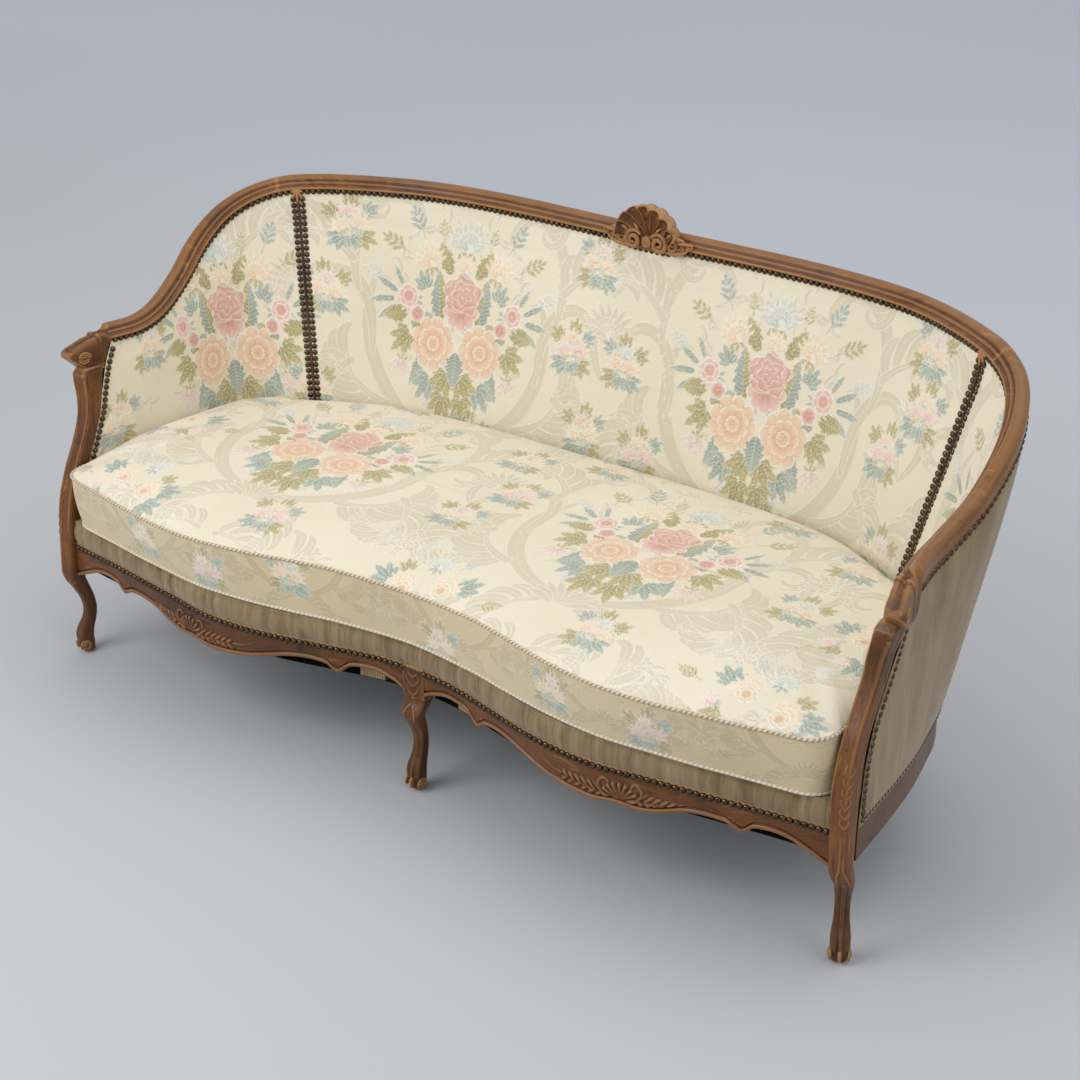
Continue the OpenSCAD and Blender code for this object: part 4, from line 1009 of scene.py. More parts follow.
def coarse_weave(name, dark, light, scale):
    """Plain open weave, such as jute, burlap or cambric."""
    m, tree, shader = new_material(name)
    warp, weft = (wave(tree, scale, 1.5, way) for way in "XY")
    height = maths(tree, "MAXIMUM", warp, weft)
    slub = maths(tree, "MULTIPLY", height, noise(tree, 90.0))
    colour = ramp(tree, slub, [(0.15, dark), (0.6, light)])
    tree.links.new(colour, shader.inputs["Base Color"])
    bump(tree, shader, height, 0.5, 0.001)
    finish(shader, rough=0.9, spec=0.2)
    return m


def cord_material(name):
    """Twisted cord: its two yarns are coloured along the twist."""
    m, tree, shader = new_material(name)
    yarn = node(tree, "ShaderNodeAttribute", attribute_name="woven")
    hair = noise(tree, 900.0, 2.0)
    fuzz = ramp(tree, hair, [(0.3, (0.75, 0.75, 0.75)), (0.7, (1.1, 1.1, 1.1))])
    colour = blend(tree, 0.7, yarn.outputs["Color"], fuzz, "MULTIPLY")
    tree.links.new(colour, shader.inputs["Base Color"])
    bump(tree, shader, hair, 0.3, 0.0005)
    finish(shader, rough=0.75, sheen=0.3, sheen_rough=0.4)
    return m


# Dark, middle and light tone, then the grain's scale along each axis; wood follows with its lighter edges
# (wear and painted highlight) and gloss
along_x, along_z, all_round = (1, 9, 9), (9, 9, 1), (3, 3, 3)
walnut_tones = ((0.028, 0.009, 0.003), (0.165, 0.060, 0.014), (0.50, 0.25, 0.09))
rail_wood = wood("walnut_rail", *walnut_tones, along_x)
# Posts and legs are painted darker towards the floor: painted shade
post_wood = wood("walnut_post", *walnut_tones, along_z, foot=True)
plain_wood = wood("walnut_plain", (0.026, 0.009, 0.003), (0.12, 0.045, 0.013), (0.22, 0.09, 0.03),
    all_round, 0.0)
apron_wood = wood("walnut_apron", (0.028, 0.009, 0.003), (0.145, 0.052, 0.014), (0.44, 0.21, 0.08), along_x)
carved_wood = wood("walnut_carved", (0.026, 0.009, 0.003), (0.15, 0.056, 0.016), (0.46, 0.23, 0.09),
    (3, 5, 5), 0.85, 0.36)
brocade = brocade_material("brocade")
velvet = velvet_material("outer_velvet", (0.19, 0.125, 0.06), (0.285, 0.20, 0.10), (0.38, 0.28, 0.155),
    (2, 2, 0.35), 14.0, 0.3)
deck_velvet = velvet_material("deck_velvet", (0.11, 0.06, 0.025), (0.26, 0.18, 0.09), (0.37, 0.285, 0.17),
    (5, 2, 0.4), 12.0, 0.4)
bronze = metal_material("antique_bronze", (0.035, 0.024, 0.016), (0.16, 0.115, 0.07), 0.27)
cord = cord_material("twisted_cord")

# Woven colour on a mesh


def weave(piece, colours):
    """Stores the colour of each point, its weave with any painted shade; points past the list take its last
    colour.
    """
    colours = np.asarray(colours).reshape(-1, 4)
    count = len(piece.data.vertices)
    if len(colours) < count:
        colours = np.vstack([colours, np.repeat(colours[-1:], count - len(colours), 0)])
    layer = piece.data.color_attributes.new("woven", "FLOAT_COLOR", "POINT")
    layer.data.foreach_set("color", np.clip(colours, 0, 1).astype(np.float32).ravel())


def run_lengths():
    """Length along the wall from its middle to each station, at half height."""
    s = np.linspace(0, 1.02, 409)
    p = wall_mid(s, 0.5)
    run = run_along(p)
    return s, run


run_table = run_lengths()


def wall_run(s):
    return np.sign(s) * np.interp(np.abs(s), *run_table)


tile = damask_tile()
# Where bouquets, groups and sprays lie: run and height on the wall, x and y on the seat, and on the boxing
# run and height above the cushion's foot
back_bouquets = [[-0.411, 0.635], [0.299, 0.631], [-0.929, 0.592], [0.985, 0.600]]
back_sprays = [[-0.707, 0.655], [-0.134, 0.621], [-0.014, 0.618], [-0.653, 0.784], [-0.102, 0.789],
    [0.597, 0.604], [-0.748, 0.462], [-0.083, 0.471], [0.632, 0.799], [0.05, 0.46], [-0.36, 0.40],
    [0.35, 0.39], [0.66, 0.44], [0.66, 0.70], [-1.16, 0.60], [-1.244, 0.471], [1.22, 0.50]]
seat_bouquets = [[-0.431, -0.010], [0.304, -0.011]]
seat_groups = [[-0.674, -0.344], [0.032, -0.340], [0.718, -0.344], [-0.80, -0.10], [0.80, -0.12]]
seat_sprays = [[0.633, 0.115], [-0.02, 0.009], [0.628, -0.075], [-0.10, 0.14], [-0.72, 0.10], [-0.35, -0.30],
    [0.38, -0.31], [-0.06, -0.12], [0.05, 0.22], [-0.45, 0.25], [0.45, 0.22]]
boxing_sprays = [[-0.60, 0.065], [-0.43, 0.05], [-0.25, 0.085], [0.08, 0.03], [0.36, 0.06], [0.56, 0.05]]


# Lower and upper corner of each painted field, measured in the same ways
wall_field = (-1.36, 0.26, 1.36, 0.88)
seat_field = (-0.96, -0.50, 0.96, 0.44)
boxing_field = (-1.3, -0.02, 1.3, 0.14)
# The boxing lies in shade: its colours are darker than the top's, partly its own darker weave and partly
# painted shade
boxing_tones_and_shade = ((0.75, 0.615, 0.38), (0.56, 0.44, 0.25), (0.90, 0.82, 0.60))


def add_sprays(canvas, places, size):
    for k, (x, y) in enumerate(places):
        spray(canvas, x, y, size, k, 1 - 2 * (k % 2))


def wall_cloth():
    c = Canvas(*wall_field)
    cloth(c, tile, *back_bouquets[0], cloth_ground, cloth_figure, cloth_line)
    for x, y in back_bouquets:
        bouquet(c, x, y)
    add_sprays(c, back_sprays, 1.25)
    return c


def seat_cloth():
    c = Canvas(*seat_field)
    cloth(c, tile, *seat_bouquets[0], cloth_ground, cloth_figure, cloth_line)
    for x, y in seat_bouquets:
        bouquet(c, x, y, 1.05)
    for k, (x, y) in enumerate(seat_groups):
        group(c, x, y, 1.1, 1 - 2 * (k % 2))
    add_sprays(c, seat_sprays, 1.25)
    return c


def boxing_cloth():
    c = Canvas(*boxing_field)
    # Darker boxing colours: part weave, part painted shade
    cloth(c, tile[::2, ::2], 0.12, 0.17, *boxing_tones_and_shade)
    add_sprays(c, boxing_sprays, 1.1)
    return c


# Show-wood frame

section = np.array(rail_shares)
rail_steps = 301
arm_steps = 201
# Points round a leg or post, and how square their sections are (2 is round)
leg_points = 96
leg_square, centre_square, post_square, block_square = 3, 4, 6, 9
# Height range in which the arm posts start to lean out, and share of the end block's lean that they take
lean_from, lean_run, lean_share = 0.52, 0.055, 0.3
# Spirals on the arm's end block and on the feet: turns, radius and half width of the strand
volute_turns, volute_r, volute_strand = 2.6, 0.0125, 0.0017
toe_turns, toe_strand = 2.4, 0.0022
# The carved front post's middle, from the plain post's: inward and back
post_in, post_back = 0.0012, 0.0008
# Run of the wall for one whole station, near the rear posts
station_run = 1.49


def carved(shape, node_name, material):
    """Makes a carved piece that stands for a node."""
    piece = shape.object(node_name + "_carved", material, slot="walnut")
    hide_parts(node_name)


def rail_rings(s):
    """Rings of the top rail at stations along it."""
    s = np.asarray(s, float)[:, None]
    n = section[None, :, 0] * rail_d
    v = section[None, :, 1] * rail_rise
    s, n, v = np.broadcast_arrays(s, n, v)
    return rail_point(s, n, v)


def make_crest_rail():
    shape = Shape()
    shape.loft(rail_rings(np.linspace(-joint_share, joint_share, rail_steps)))
    carved(shape, "crest_rail", rail_wood)


# The end block along its length: underside, top, lean and width
end_shares = [[0, 0.6, 1, 0, 1.02], [0.12, 0.1, 1.06, 0.06, 1.05], [0.24, 0, 1.08, 0.14, 1.08],
    [0.27, 0, 1.1, 0.16, 1.14], [0.31, 0, 1.1, 0.2, 1.14], [0.34, 0, 1.02, 0.24, 1.09],
    [0.5, 0, 0.97, 0.42, 1.09], [0.6, 0.04, 0.91, 0.58, 1.08], [0.72, 0.2, 0.84, 0.75, 1.06],
    [0.84, 0.36, 0.77, 0.9, 1.0], [0.93, 0.47, 0.72, 0.95, 0.88], [0.96, 0.53, 0.67, 0.95, 0.7]]
# A front post along its height, its top spreading forward under the block
flared_shares = [[0, 1, 1], [0.15, 0.98, 1], [0.3, 0.95, 0.98], [0.45, 0.92, 0.92], [0.6, 0.9, 0.85],
    [0.74, 0.9, 0.86], [0.86, 0.94, 0.98], [0.94, 0.98, 1.15], [1, 1, 1.34]]


def block_section():
    """Section of the arm's end block, going round as the top rail's section does."""
    keys = [[0, 0.35], [0, 0.55], [0, 0.78], [0.05, 0.92], [0.14, 0.99], [0.27, 1], [0.4, 0.96],
        [0.5, 0.95], [0.6, 0.98], [0.73, 1], [0.9, 0.95], [1, 0.78], [1, 0.45], [1, 0.2],
        [0.97, 0], [0.03, 0], [0, 0.15]]
    rows = np.array(keys)
    t = np.linspace(0, len(keys), len(section), endpoint=False)
    k = t.astype(int)
    u = (t - k)[:, None]
    return cubic(*(rows[(k + i) % len(keys)] for i in (-1, 0, 1, 2)), u)


def block_rings(ts):
    """Rings of an arm's end block at shares of its length."""
    start = wall_mid(1.0, 1.0)
    ring = block_section()
    rings = []
    for t in ts:
        low, high, lean, wide = (lookup(end_shares, t, c) for c in (1, 2, 3, 4))
        w = post_w * wide
        base = post_z + fit_gap
        x0 = start[0] + (post_w - w) / 2 + arm_end_lean * lean
        z = mix(base + low * arm_end_h, base + high * arm_end_h, ring[:, 1])
        rings.append(point(x0 + ring[:, 0] * w, start[1] - t * arm_end_len, z))
    return np.array(rings)


def make_arm(side, name):
    rail = rail_rings(np.linspace(joint_share, 0.999, arm_steps))
    block = block_rings(np.concatenate([np.linspace(0.12, 0.24, 7), np.linspace(0.25, 0.35, 14),
        np.linspace(0.38, 0.959, 34)]))
    rings = np.concatenate([rail, block])
    shape = Shape()
    shape.loft(rings if side > 0 else mirrored(rings))
    for face in (0, 1):
        volute(shape, side, face)
    carved(shape, name, rail_wood)


def volute(shape, side, face):
    """Carved spiral on a cheek of the end block."""
    start = wall_mid(1.0, 1.0)
    a = np.linspace(0, volute_turns * 2 * math.pi, 90)
    r = volute_r * (1 - a / a[-1] * 0.86)
    y = start[1] - 0.66 * arm_end_len + r * np.cos(a)
    z = post_z + 0.46 * arm_end_h + r * np.sin(a)
    t = (start[1] - y) / arm_end_len
    lean = arm_end_lean * lookup(end_shares, np.clip(t, 0, 0.999), 3)
    wide = post_w * lookup(end_shares, np.clip(t, 0, 0.999), 4)
    x = start[0] + post_w / 2 + lean + (face - 0.5) * wide
    p = point(side * x, y, z)
    tube(shape, p, volute_strand * (1 - 0.5 * a / a[-1]) + 0.0004, 8)


def tube(shape, points, radii, count=8, flat=1.0, across=None):
    """Round or flattened carved strand along a line, tapering with its radii."""
    p = np.asarray(points, float)
    radii = np.broadcast_to(np.asarray(radii, float), len(p))
    way = unit(np.gradient(p, axis=0))
    ref = np.array([0.0, 0.0, 1.0]) if across is None else np.asarray(across, float)
    a = unit(np.cross(way, np.broadcast_to(ref, way.shape)) + 1e-9)
    b = np.cross(way, a)
    turn = np.linspace(0, 2 * math.pi, count, endpoint=False)
    ring = p[:, None] + radii[:, None, None] * (np.cos(turn)[None, :, None] * a[:, None]
        + flat * np.sin(turn)[None, :, None] * b[:, None])
    shape.loft(ring)


def post_mid(z, d):
    """Middle of an arm post d deep at a height."""
    p = wall(1.0, height_share(1.0, z), 0.0)
    lean = lean_share * arm_end_lean * smooth((z - lean_from) / lean_run)
    return np.array([p[0] + post_w / 2 + lean, p[1] - fit_gap - d / 2, z])


def upright(field, x, z0, z1, count, width, height):
    """Straight upright bead."""
    z = np.linspace(z0, z1, count)
    ridge(field, np.stack([x + 0 * z, z], -1), width, height)


def post_relief():
    """Carving on a front post: run round the post (0 faces the corner) and height."""
    c = Canvas(-0.07, 0.0, 0.07, 0.58, 1)
    upright(c, 0, 0.30, 0.56, 120, 0.0035, 0.5)
    upright(c, 0, 0.03, 0.16, 120, 0.0035, 0.5)
    ridge(c, [[0, 0.212]], 0.0085, 0.55)
    for way in both:
        upright(c, way * 0.022, 0.28, 0.565, 140, 0.002, 0.6)
        for k in range(6):
            carve(c, (0, 0.268 + 0.017 * k), math.pi / 2 - 1, 0.022, 1.5, 1.4, 0.0032, 0.45, 0.6, 24, way)
        carve(c, (way * 0.004, 0.236), 0.2, 0.075, -1.9, -3.6, 0.0038, 0.6, 0.7, 50, way)
        carve(c, (0, 0.196), 0.5 - math.pi / 2, 0.045, -0.6, 0, 0.0028, 0.4, 0.7, 30, way)
    return c


relief_of_post = post_relief()


def carve_rings(rings, relief, face_turn, size):
    """Raises rings outward by a relief painted round them, whose middle faces one way."""
    rings = np.array(rings)
    mid = rings.mean(1, keepdims=True)
    out = rings - mid
    angle = np.arctan2(out[..., 1], out[..., 0])
    away = (angle - face_turn + math.pi) % (2 * math.pi) - math.pi
    girth = np.linalg.norm(out[..., :2], axis=-1)
    lift = relief.sample(away * np.minimum(girth, size), rings[..., 2])[..., 0]
    return rings + lift[..., None] * out / np.maximum(np.linalg.norm(out, axis=-1, keepdims=True), 1e-6)


def leg_line(base, face, top_xy, w_top, d_top, turn, ring, width=1.0):
    """Rings of a leg from its foot to the rails: it reaches along face and turns square at its top."""
    leg_h = rails_z - glide_t
    rings = []
    for z in np.linspace(0, 0.78, 110):
        reach, w = knee_reach * lookup(leg_shares, z, 1), width * knee_w * lookup(leg_shares, z, 2)
        t = smooth((z - 0.6) / 0.18)
        p = base + reach * face
        centre = np.array([mix(p[0], top_xy[0], t), mix(p[1], top_xy[1], t), glide_t + leg_h * z / 0.78])
        rings.append(oval(centre, mix(w, w_top, t), mix(w, d_top, t), mix(turn, 0, t), ring))
    return rings


def scroll_foot(shape, base, face, side_way):
    """Rolled toe with a volute on each cheek."""
    centre = base + np.array([0, 0, glide_t + scroll_r * 1.35]) + face * knee_reach * 0.4
    up = np.array([0, 0, 1.0])

    def circle(r, a):
        return face * (r * np.cos(a))[:, None] + up * (r * np.sin(a))[:, None]
    for cheek in (-1, 1):
        a = np.linspace(0, toe_turns * 2 * math.pi, 80)
        rise = 0.0145 + 0.004 * a / a[-1]
        p = centre + cheek * side_way * rise[:, None] + circle(scroll_r * (1.15 - 0.95 * a / a[-1]), a - 0.6)
        tube(shape, p, toe_strand * (1 - 0.35 * a / a[-1]), 8)
    toe = centre + circle(0.9 * scroll_r, np.linspace(-0.6, 3.4, 40))
    girth = 0.011 * np.sin(np.linspace(0.5, math.pi - 0.25, 40)) ** 0.5
    tube(shape, toe, girth, 14, 0.45, across=side_way)


def make_front_post(side, name):
    ring = superellipse(leg_points, leg_square)
    foot = np.array([foot_x, feet_y, 0])
    top = post_mid(seat_z, post_d)
    face = np.array([math.sin(leg_turn), -math.cos(leg_turn), 0])
    rings = leg_line(foot, face, top, post_w, post_d - fit_gap, leg_turn, ring)
    square = superellipse(leg_points, post_square)
    for t in np.linspace(0, 1.03, 176)[1:]:
        z = mix(seat_z, post_z, t)
        w, d = (post_shares_at(t, c) for c in (1, 2))
        form = mix(ring, square, min(1, 5 * t))
        tuck = 1 - 5 * max(0, t - 1)
        centre = post_mid(z, d * post_d) + np.array([-post_in, post_back, 0])
        rings.append(oval(centre, tuck * (w * post_w + 0.002), tuck * d * post_d + 0.001, 0, form))
    corner = math.atan2(face[1], face[0])
    rings = carve_rings(rings, relief_of_post, corner, 0.02)
    shape = Shape()
    shape.loft(rings if side > 0 else mirrored(rings))
    flip = np.array([side, 1, 1])
    across = np.array([math.cos(leg_turn), math.sin(leg_turn), 0])
    scroll_foot(shape, foot * flip, face * flip, across * flip)
    carved(shape, name, post_wood)


def post_shares_at(t, column):
    return lookup(flared_shares, min(t, 0.9999), column)


def make_centre_leg():
    ring = superellipse(leg_points, centre_square)
    block_d = apron_t + 2 * block_proud
    block_y = front_y(0) + apron_t / 2
    block_w = centre_block_w - 2 * fit_gap
    base = np.array([0, feet_y - centre_foot_reach, 0])
    face = np.array([0, -1.0, 0])
    rings = leg_line(base, face, np.array([0, block_y]), block_w, block_d, 0, ring, 0.92)
    square = superellipse(leg_points, block_square)
    for z in np.linspace(rails_z, seat_z, 40):
        rings.append(oval(np.array([0, block_y, z]), block_w, block_d, 0, square))
    c = Canvas(-0.05, 0.0, 0.05, 0.27, 1)
    upright(c, 0, 0.03, 0.15, 60, 0.003, 0.5)
    for way in both:
        for z, n in ((0.232, 0.03), (0.214, 0.034), (0.196, 0.03)):
            carve(c, (0, z), math.pi / 2 - 1.1, n, 0.9, 1.8, 0.0034, 0.5, 0.6, 24, way)
        carve(c, (way * 0.004, 0.176), 0.7 - math.pi / 2, 0.05, -1.2, -3, 0.003, 0.5, 0.7, 40, way)
    shape = Shape()
    shape.loft(carve_rings(rings, c, -math.pi / 2, 0.03))
    scroll_foot(shape, base, face, np.array([1.0, 0, 0]))
    carved(shape, "centre_leg", post_wood)


def apron_relief():
    """Carving on a front rail: place across from the middle leg, and height."""
    c = Canvas(0.0, 0.165, 0.87, 0.26, 1)
    x = 0.49
    for k in range(7):
        a = math.radians(-62 + 20.6 * k)
        rib = arc_points(x + 0.003 * math.sin(a), 0.194, math.pi / 2 - a, 0.028, 0.0, 20)
        ridge(c, rib, np.linspace(0.0012, 0.0042, 20), 0.75)
    scrolls = [(0.012, 0.190, 0.2, 0.075, 1.6, 4.0, 0.0042, 0.55, 0.75, 60),
        (0.05, 0.196, 0.5, 0.07, -1.4, -3.0, 0.0036, 0.5, 0.7, 50),
        (0.115, 0.206, 0.05, 0.05, 0.5, 0, 0.0022, 0.4, 0.8, 40)]
    for way in both:
        for dx, z, *strand in scrolls:
            carve(c, (x + way * dx, z), *strand, way)
        for k in range(6):
            root = (x + way * (0.03 + 0.014 * k), 0.199 + 0.001 * k)
            for turn, n in ((0.9, 0.026 - 0.002 * k), (-0.35, 0.018)):
                blade = arc_points(*root, facing(turn, way), n, -way * 1.0, 20, way * 1.2)
                ridge(c, blade, 0.0032 * bulge(20, 0.2, 0.95) + 0.0006, 0.75)
    # Small scrolls beside the two notches of the lower edge
    for notch, way in ((0.135, 1), (0.158, -1), (0.700, 1), (0.712, -1)):
        carve(c, (notch, 0.198), math.pi, 0.045, -1.2, -4.2, 0.003, 0.5, 0.75, 40, way)
    line = np.linspace(0.03, 0.84, 600)
    ridge(c, np.stack([line, 0 * line + 0.2385], -1), 0.0011, 0.7)
    return c


relief_of_apron = apron_relief()


def make_front_rail(side, name):
    x0, x1 = centre_block_w / 2, base_point(1.0)[0] - fit_gap
    t = np.linspace(0, 0.9999, 430)
    x = mix(x0, x1, t)
    y = front_y(x)
    low = seat_z - apron_drop * lookup(edge_shares, t)
    b = apron_bead
    back = [(apron_t, low + b), (apron_t, seat_z), (0.2 * b, seat_z), (0, seat_z - 0.3 * b)]
    columns = [point(x, y + dy, z) for dy, z in back]
    for w in np.linspace(1, 0, 30):
        z = mix(low + 2.6 * b, seat_z - 0.8 * b, w)
        lift = relief_of_apron.sample(x, z)[..., 0]
        columns.append(point(x, y + 0.1 * b * (1 - w) - 1.5 * lift, z))
    # The bead along the lower edge
    for dy, dz in ((0.55, 2.2), (0.6, 1.95), (0.2, 1.8), (-0.25, 1.6), (-0.45, 1.25), (-0.45, 0.85),
            (-0.25, 0.45), (0.1, 0.12), (0.6, 0), (1.2, -0.05)):
        columns.append(point(x, y + dy * b, low + dz * b))
    columns.append(point(x, y + apron_t - b, low))
    rings = np.stack(columns, 1)
    shape = Shape()
    shape.loft(rings if side > 0 else mirrored(rings))
    carved(shape, name, apron_wood)


# Volutes of the shell: middle, outer and inner radius, first angle, turns, thickness and distance back
shell_volutes = [[0.0290, -0.003, 0.0200, 0.0035, 2.5, -1.75, 0.0050, -0.0125],
    [0.0560, -0.004, 0.0130, 0.0025, 2.8, -1.4, 0.0040, -0.0085],
    [0.0940, 0.002, 0.0062, 0.0020, -1.6, 1.3, 0.0026, -0.0055],
    [0.0745, -0.008, 0.0070, 0.0020, 1.6, -1.3, 0.0027, -0.0065]]
# Its leaves: root, heading, length, thickness and bend
shell_leaves = [[0.040, -0.015, -0.15, 0.055, 0.0040, 0.5], [0.044, 0.010, 0.9, 0.026, 0.0040, -0.7],
    [0.055, 0.007, 0.55, 0.030, 0.0036, -0.6], [0.066, 0.003, 0.35, 0.030, 0.0032, -0.4],
    [0.036, 0.014, 1.25, 0.022, 0.0036, -0.7], [0.020, 0.012, 1.35, 0.020, 0.0034, -0.7]]


def shell_fan(shape, eye):
    """Ribbed fan, its lip scalloped and curled forward."""
    ribs, spread = 7, math.radians(84)
    a = np.linspace(-spread, spread, 24 * ribs + 1)[:, None]
    swing = a / spread * math.pi * ribs
    groove = np.abs(np.cos(swing / 2)) ** 0.7
    r = np.linspace(0.14, 1, 36)[None, :]
    scallop = shell_r * (0.97 + 0.07 * groove)
    lip = np.clip((r - 0.8) / 0.2, 0, 1) ** 2
    n = -0.06 * shell_r - 0.012 * r * r - 0.0064 * r * (1 - groove) - 0.007 * lip + 0.001 * np.cos(swing)
    front = eye + point(r * scallop * np.sin(a), n, r * scallop * np.cos(a))
    rb = np.array([0.96, 0.5, 0.12])[None, :]
    depth = np.array([0.12, 0.28, 0.3]) * shell_r
    back = eye + point(rb * scallop * np.sin(a), depth, rb * scallop * np.cos(a))
    shape.loft(np.concatenate([front, back], 1))


def shell_plate(shape, eye):
    """Plate that the shell stands on, its front rounded and its lower edge bowed."""
    u = np.linspace(-1, 1, 81)[:, None]
    t = np.linspace(0, 1, 13)[None, :]
    x, z = 0.064 * u + 0 * t, mix(0.006, -0.0145 - 0.0085 * (1 - np.abs(u) ** 3), t)
    y = -0.0035 - 0.005 * (1 - np.abs(2 * t - 1) ** 3) * (1 - np.abs(u) ** 6)
    low, high = (point(x[:, :1], 0.004, z[:, k]) for k in (slice(-1, None), slice(0, 1)))
    shape.loft(np.concatenate([eye + point(x, y, z), eye + low, eye + high], 1))


def make_shell():
    """Ribbed fan that curls forward, an eye, C-scrolls and leaves along the rail."""
    shape = Shape()
    eye = rail_point(np.array(0.0), 0.0, shell_eye_rise)
    shell_fan(shape, eye)
    shell_plate(shape, eye)
    facing_out = (0, 1, 0)
    knob = eye + np.array([0, -0.0115, -0.004])
    bead = np.linspace(0, 2 * math.pi, 40)
    for size, thick in ((0.0078, 0.0030), (0.0030, 0.0026)):
        ring = knob + point(size * np.cos(bead), 0 * bead, size * np.sin(bead))
        tube(shape, ring, thick, 10, across=facing_out)
    for way in both:
        for cx, cz, r0, r1, start, turns, thick, dy in shell_volutes:
            t = np.linspace(0, 1, 80)
            a = start + 2 * math.pi * turns * t
            reach = r0 + (r1 - r0) * t ** 0.8
            q = eye + point(way * (cx + reach * np.cos(a)), dy - 0.003 * t, cz + reach * np.sin(a))
            thickness = thick * (0.65 + 0.35 * np.sin(math.pi * np.clip(1.2 * t, 0, 1)))
            tube(shape, q, thickness, 12, across=facing_out)
        for cx, cz, turn, n, thick, bend in shell_leaves:
            p = arc_points(cx, cz, turn, n, bend, 40, bend)
            q = eye + point(way * p[:, 0], -0.0075 - 0.002 * bulge(40, 0, 1), p[:, 1])
            tube(shape, q, thick * bulge(40, 0.2, 0.95, 0.7), 10, across=facing_out)
    carved(shape, "crest_shell", carved_wood)


def make_wing_leaves():
    """Small carved leaf where the top rail meets each rear post's strip."""
    shape = Shape()
    for side in (-1, 1):
        s = side * rear_post_share
        for turn, n in ((-1.57, 0.030), (-1.05, 0.026), (-2.09, 0.026), (-0.6, 0.022), (-2.54, 0.022)):
            p = arc_points(0, 0.009, turn, n, 0.35 * math.cos(turn), 24)
            h = 1 + p[:, 1] / (top_point(s)[2] - seat_z)
            q = wall(s + p[:, 0] / station_run, h, 0 * h - 0.002)
            tube(shape, q, 0.0032 * bulge(24, 0.15, 0.97, 0.6), 8)
    shape.object("wing_leaves", carved_wood, slot="walnut")

# Padding


# Faces across and up the pads and the covers
back_faces, side_faces = (760, 270), (290, 230)
side_cover_cols, back_cover_cols, cover_rows = 110, 260, 80
back_cover_crown = 0.004
# Flat widths of the covers, taken along the wall
side_cover_w, back_cover_w = 0.56, 1.56


def swell(u, w):
    """Crown of a panel, full in its middle and falling to its edges."""
    return (1 - np.abs(2 * u - 1) ** 6) * (1 - np.abs(2 * w - 1) ** 5) * mix(0.75, 1, smooth(2 * w))


def lumbar_at(h):
    """Depth of the extra stuffing low in the back, where the cushion meets it."""
    return lumbar * np.clip((lumbar_high - h) / (lumbar_high - lumbar_low), 0, 1)


def lumbar_share(u):
    """How much of that stuffing is left along a side, from the back forward."""
    return 1 - smooth(u / lumbar_fade)


def pad_share(w):
    """Height share on the wall for a share of a pad's own height."""
    return mix(height_share(rear_post_share, pad_z), 1, w)


def panel_points(edge_a, edge_b, z0, top_gap, n, cols, rows):
    """Grid of wall points between two edges, with its stations; n gives the distance outward."""
    u = np.linspace(0, 1, cols + 1)[:, None]
    w = np.linspace(0, 1, rows + 1)[None, :]
    h_low = height_share((edge_a(0.0) + edge_b(0.0)) / 2, z0)
    h0 = h_low * (1 - w) + w
    s = mix(edge_a(h0), edge_b(h0), u)
    top = 1 - top_gap / (top_point(s)[..., 2] - seat_z)
    h = mix(height_share(s, z0), top, w)
    u, w = np.broadcast_arrays(u, w)
    return wall(s, h, n(u, w)), s


def dimple(u, w, size_u, size_w):
    """Soft unevenness of a hand-stuffed pad, and the pull of its nails along the edges."""
    wave = 0.0009 * np.sin(7.3 * u + 2.1 * w) * np.cos(4.1 * w - 3.3 * u) + 0.0005 * np.sin(19 * u + 5 * w)
    pull = np.exp(-((1 - w) * size_w) / 0.010) * 0.0009 * np.cos(2 * math.pi * u * size_u / 0.025)
    return wave * 4 * w * (1 - w) + pull * (w > 0.5)


def pad(name, node_name, edge_a, edge_b, depth, size, cols, rows, canvas):
    """Brocade pad between two edges; depth gives how far it stands forward."""
    def front_n(u, w):
        return pad_face - depth(u, w) - dimple(u, w, *size) * np.minimum(1, 20 * np.minimum(u, 1 - u))
    front, s = panel_points(edge_a, edge_b, pad_z, 4 * fit_gap, front_n, cols, rows)
    back = panel_points(edge_a, edge_b, pad_z, 4 * fit_gap, lambda u, w: 0 * u + pad_back, cols, 2)[0]
    shape = Shape()
    shape.sheet(front, back)
    piece = shape.object(name, brocade, slot="brocade")
    colours = canvas.sample(wall_run(s), front[..., 2])
    weave(piece, colours.reshape(-1, 4))
    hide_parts(node_name)


def make_pads(canvas):
    cut = strip_w / 2 + fit_gap
    pad("back_padding", "back_pad", lambda h: -along(rear_post_share, h, -cut),
        lambda h: along(rear_post_share, h, -cut),
        lambda u, w: back_crown * swell(u, w) + lumbar_at(pad_share(w)), (1.5, 0.53), *back_faces, canvas)
    for side, word in ((1, "right"), (-1, "left")):
        pad("side_padding_" + word, "side_pad_" + word, lambda h: side * along(rear_post_share, h, cut),
            lambda h: side * arm_edge(h),
            lambda u, w: side_crown * swell(u, w) * np.minimum(1, (1 - u) / 0.45 + 0.04)
            + lumbar_at(pad_share(w)) * lumbar_share(u), (0.55, 0.4), *side_faces, canvas)


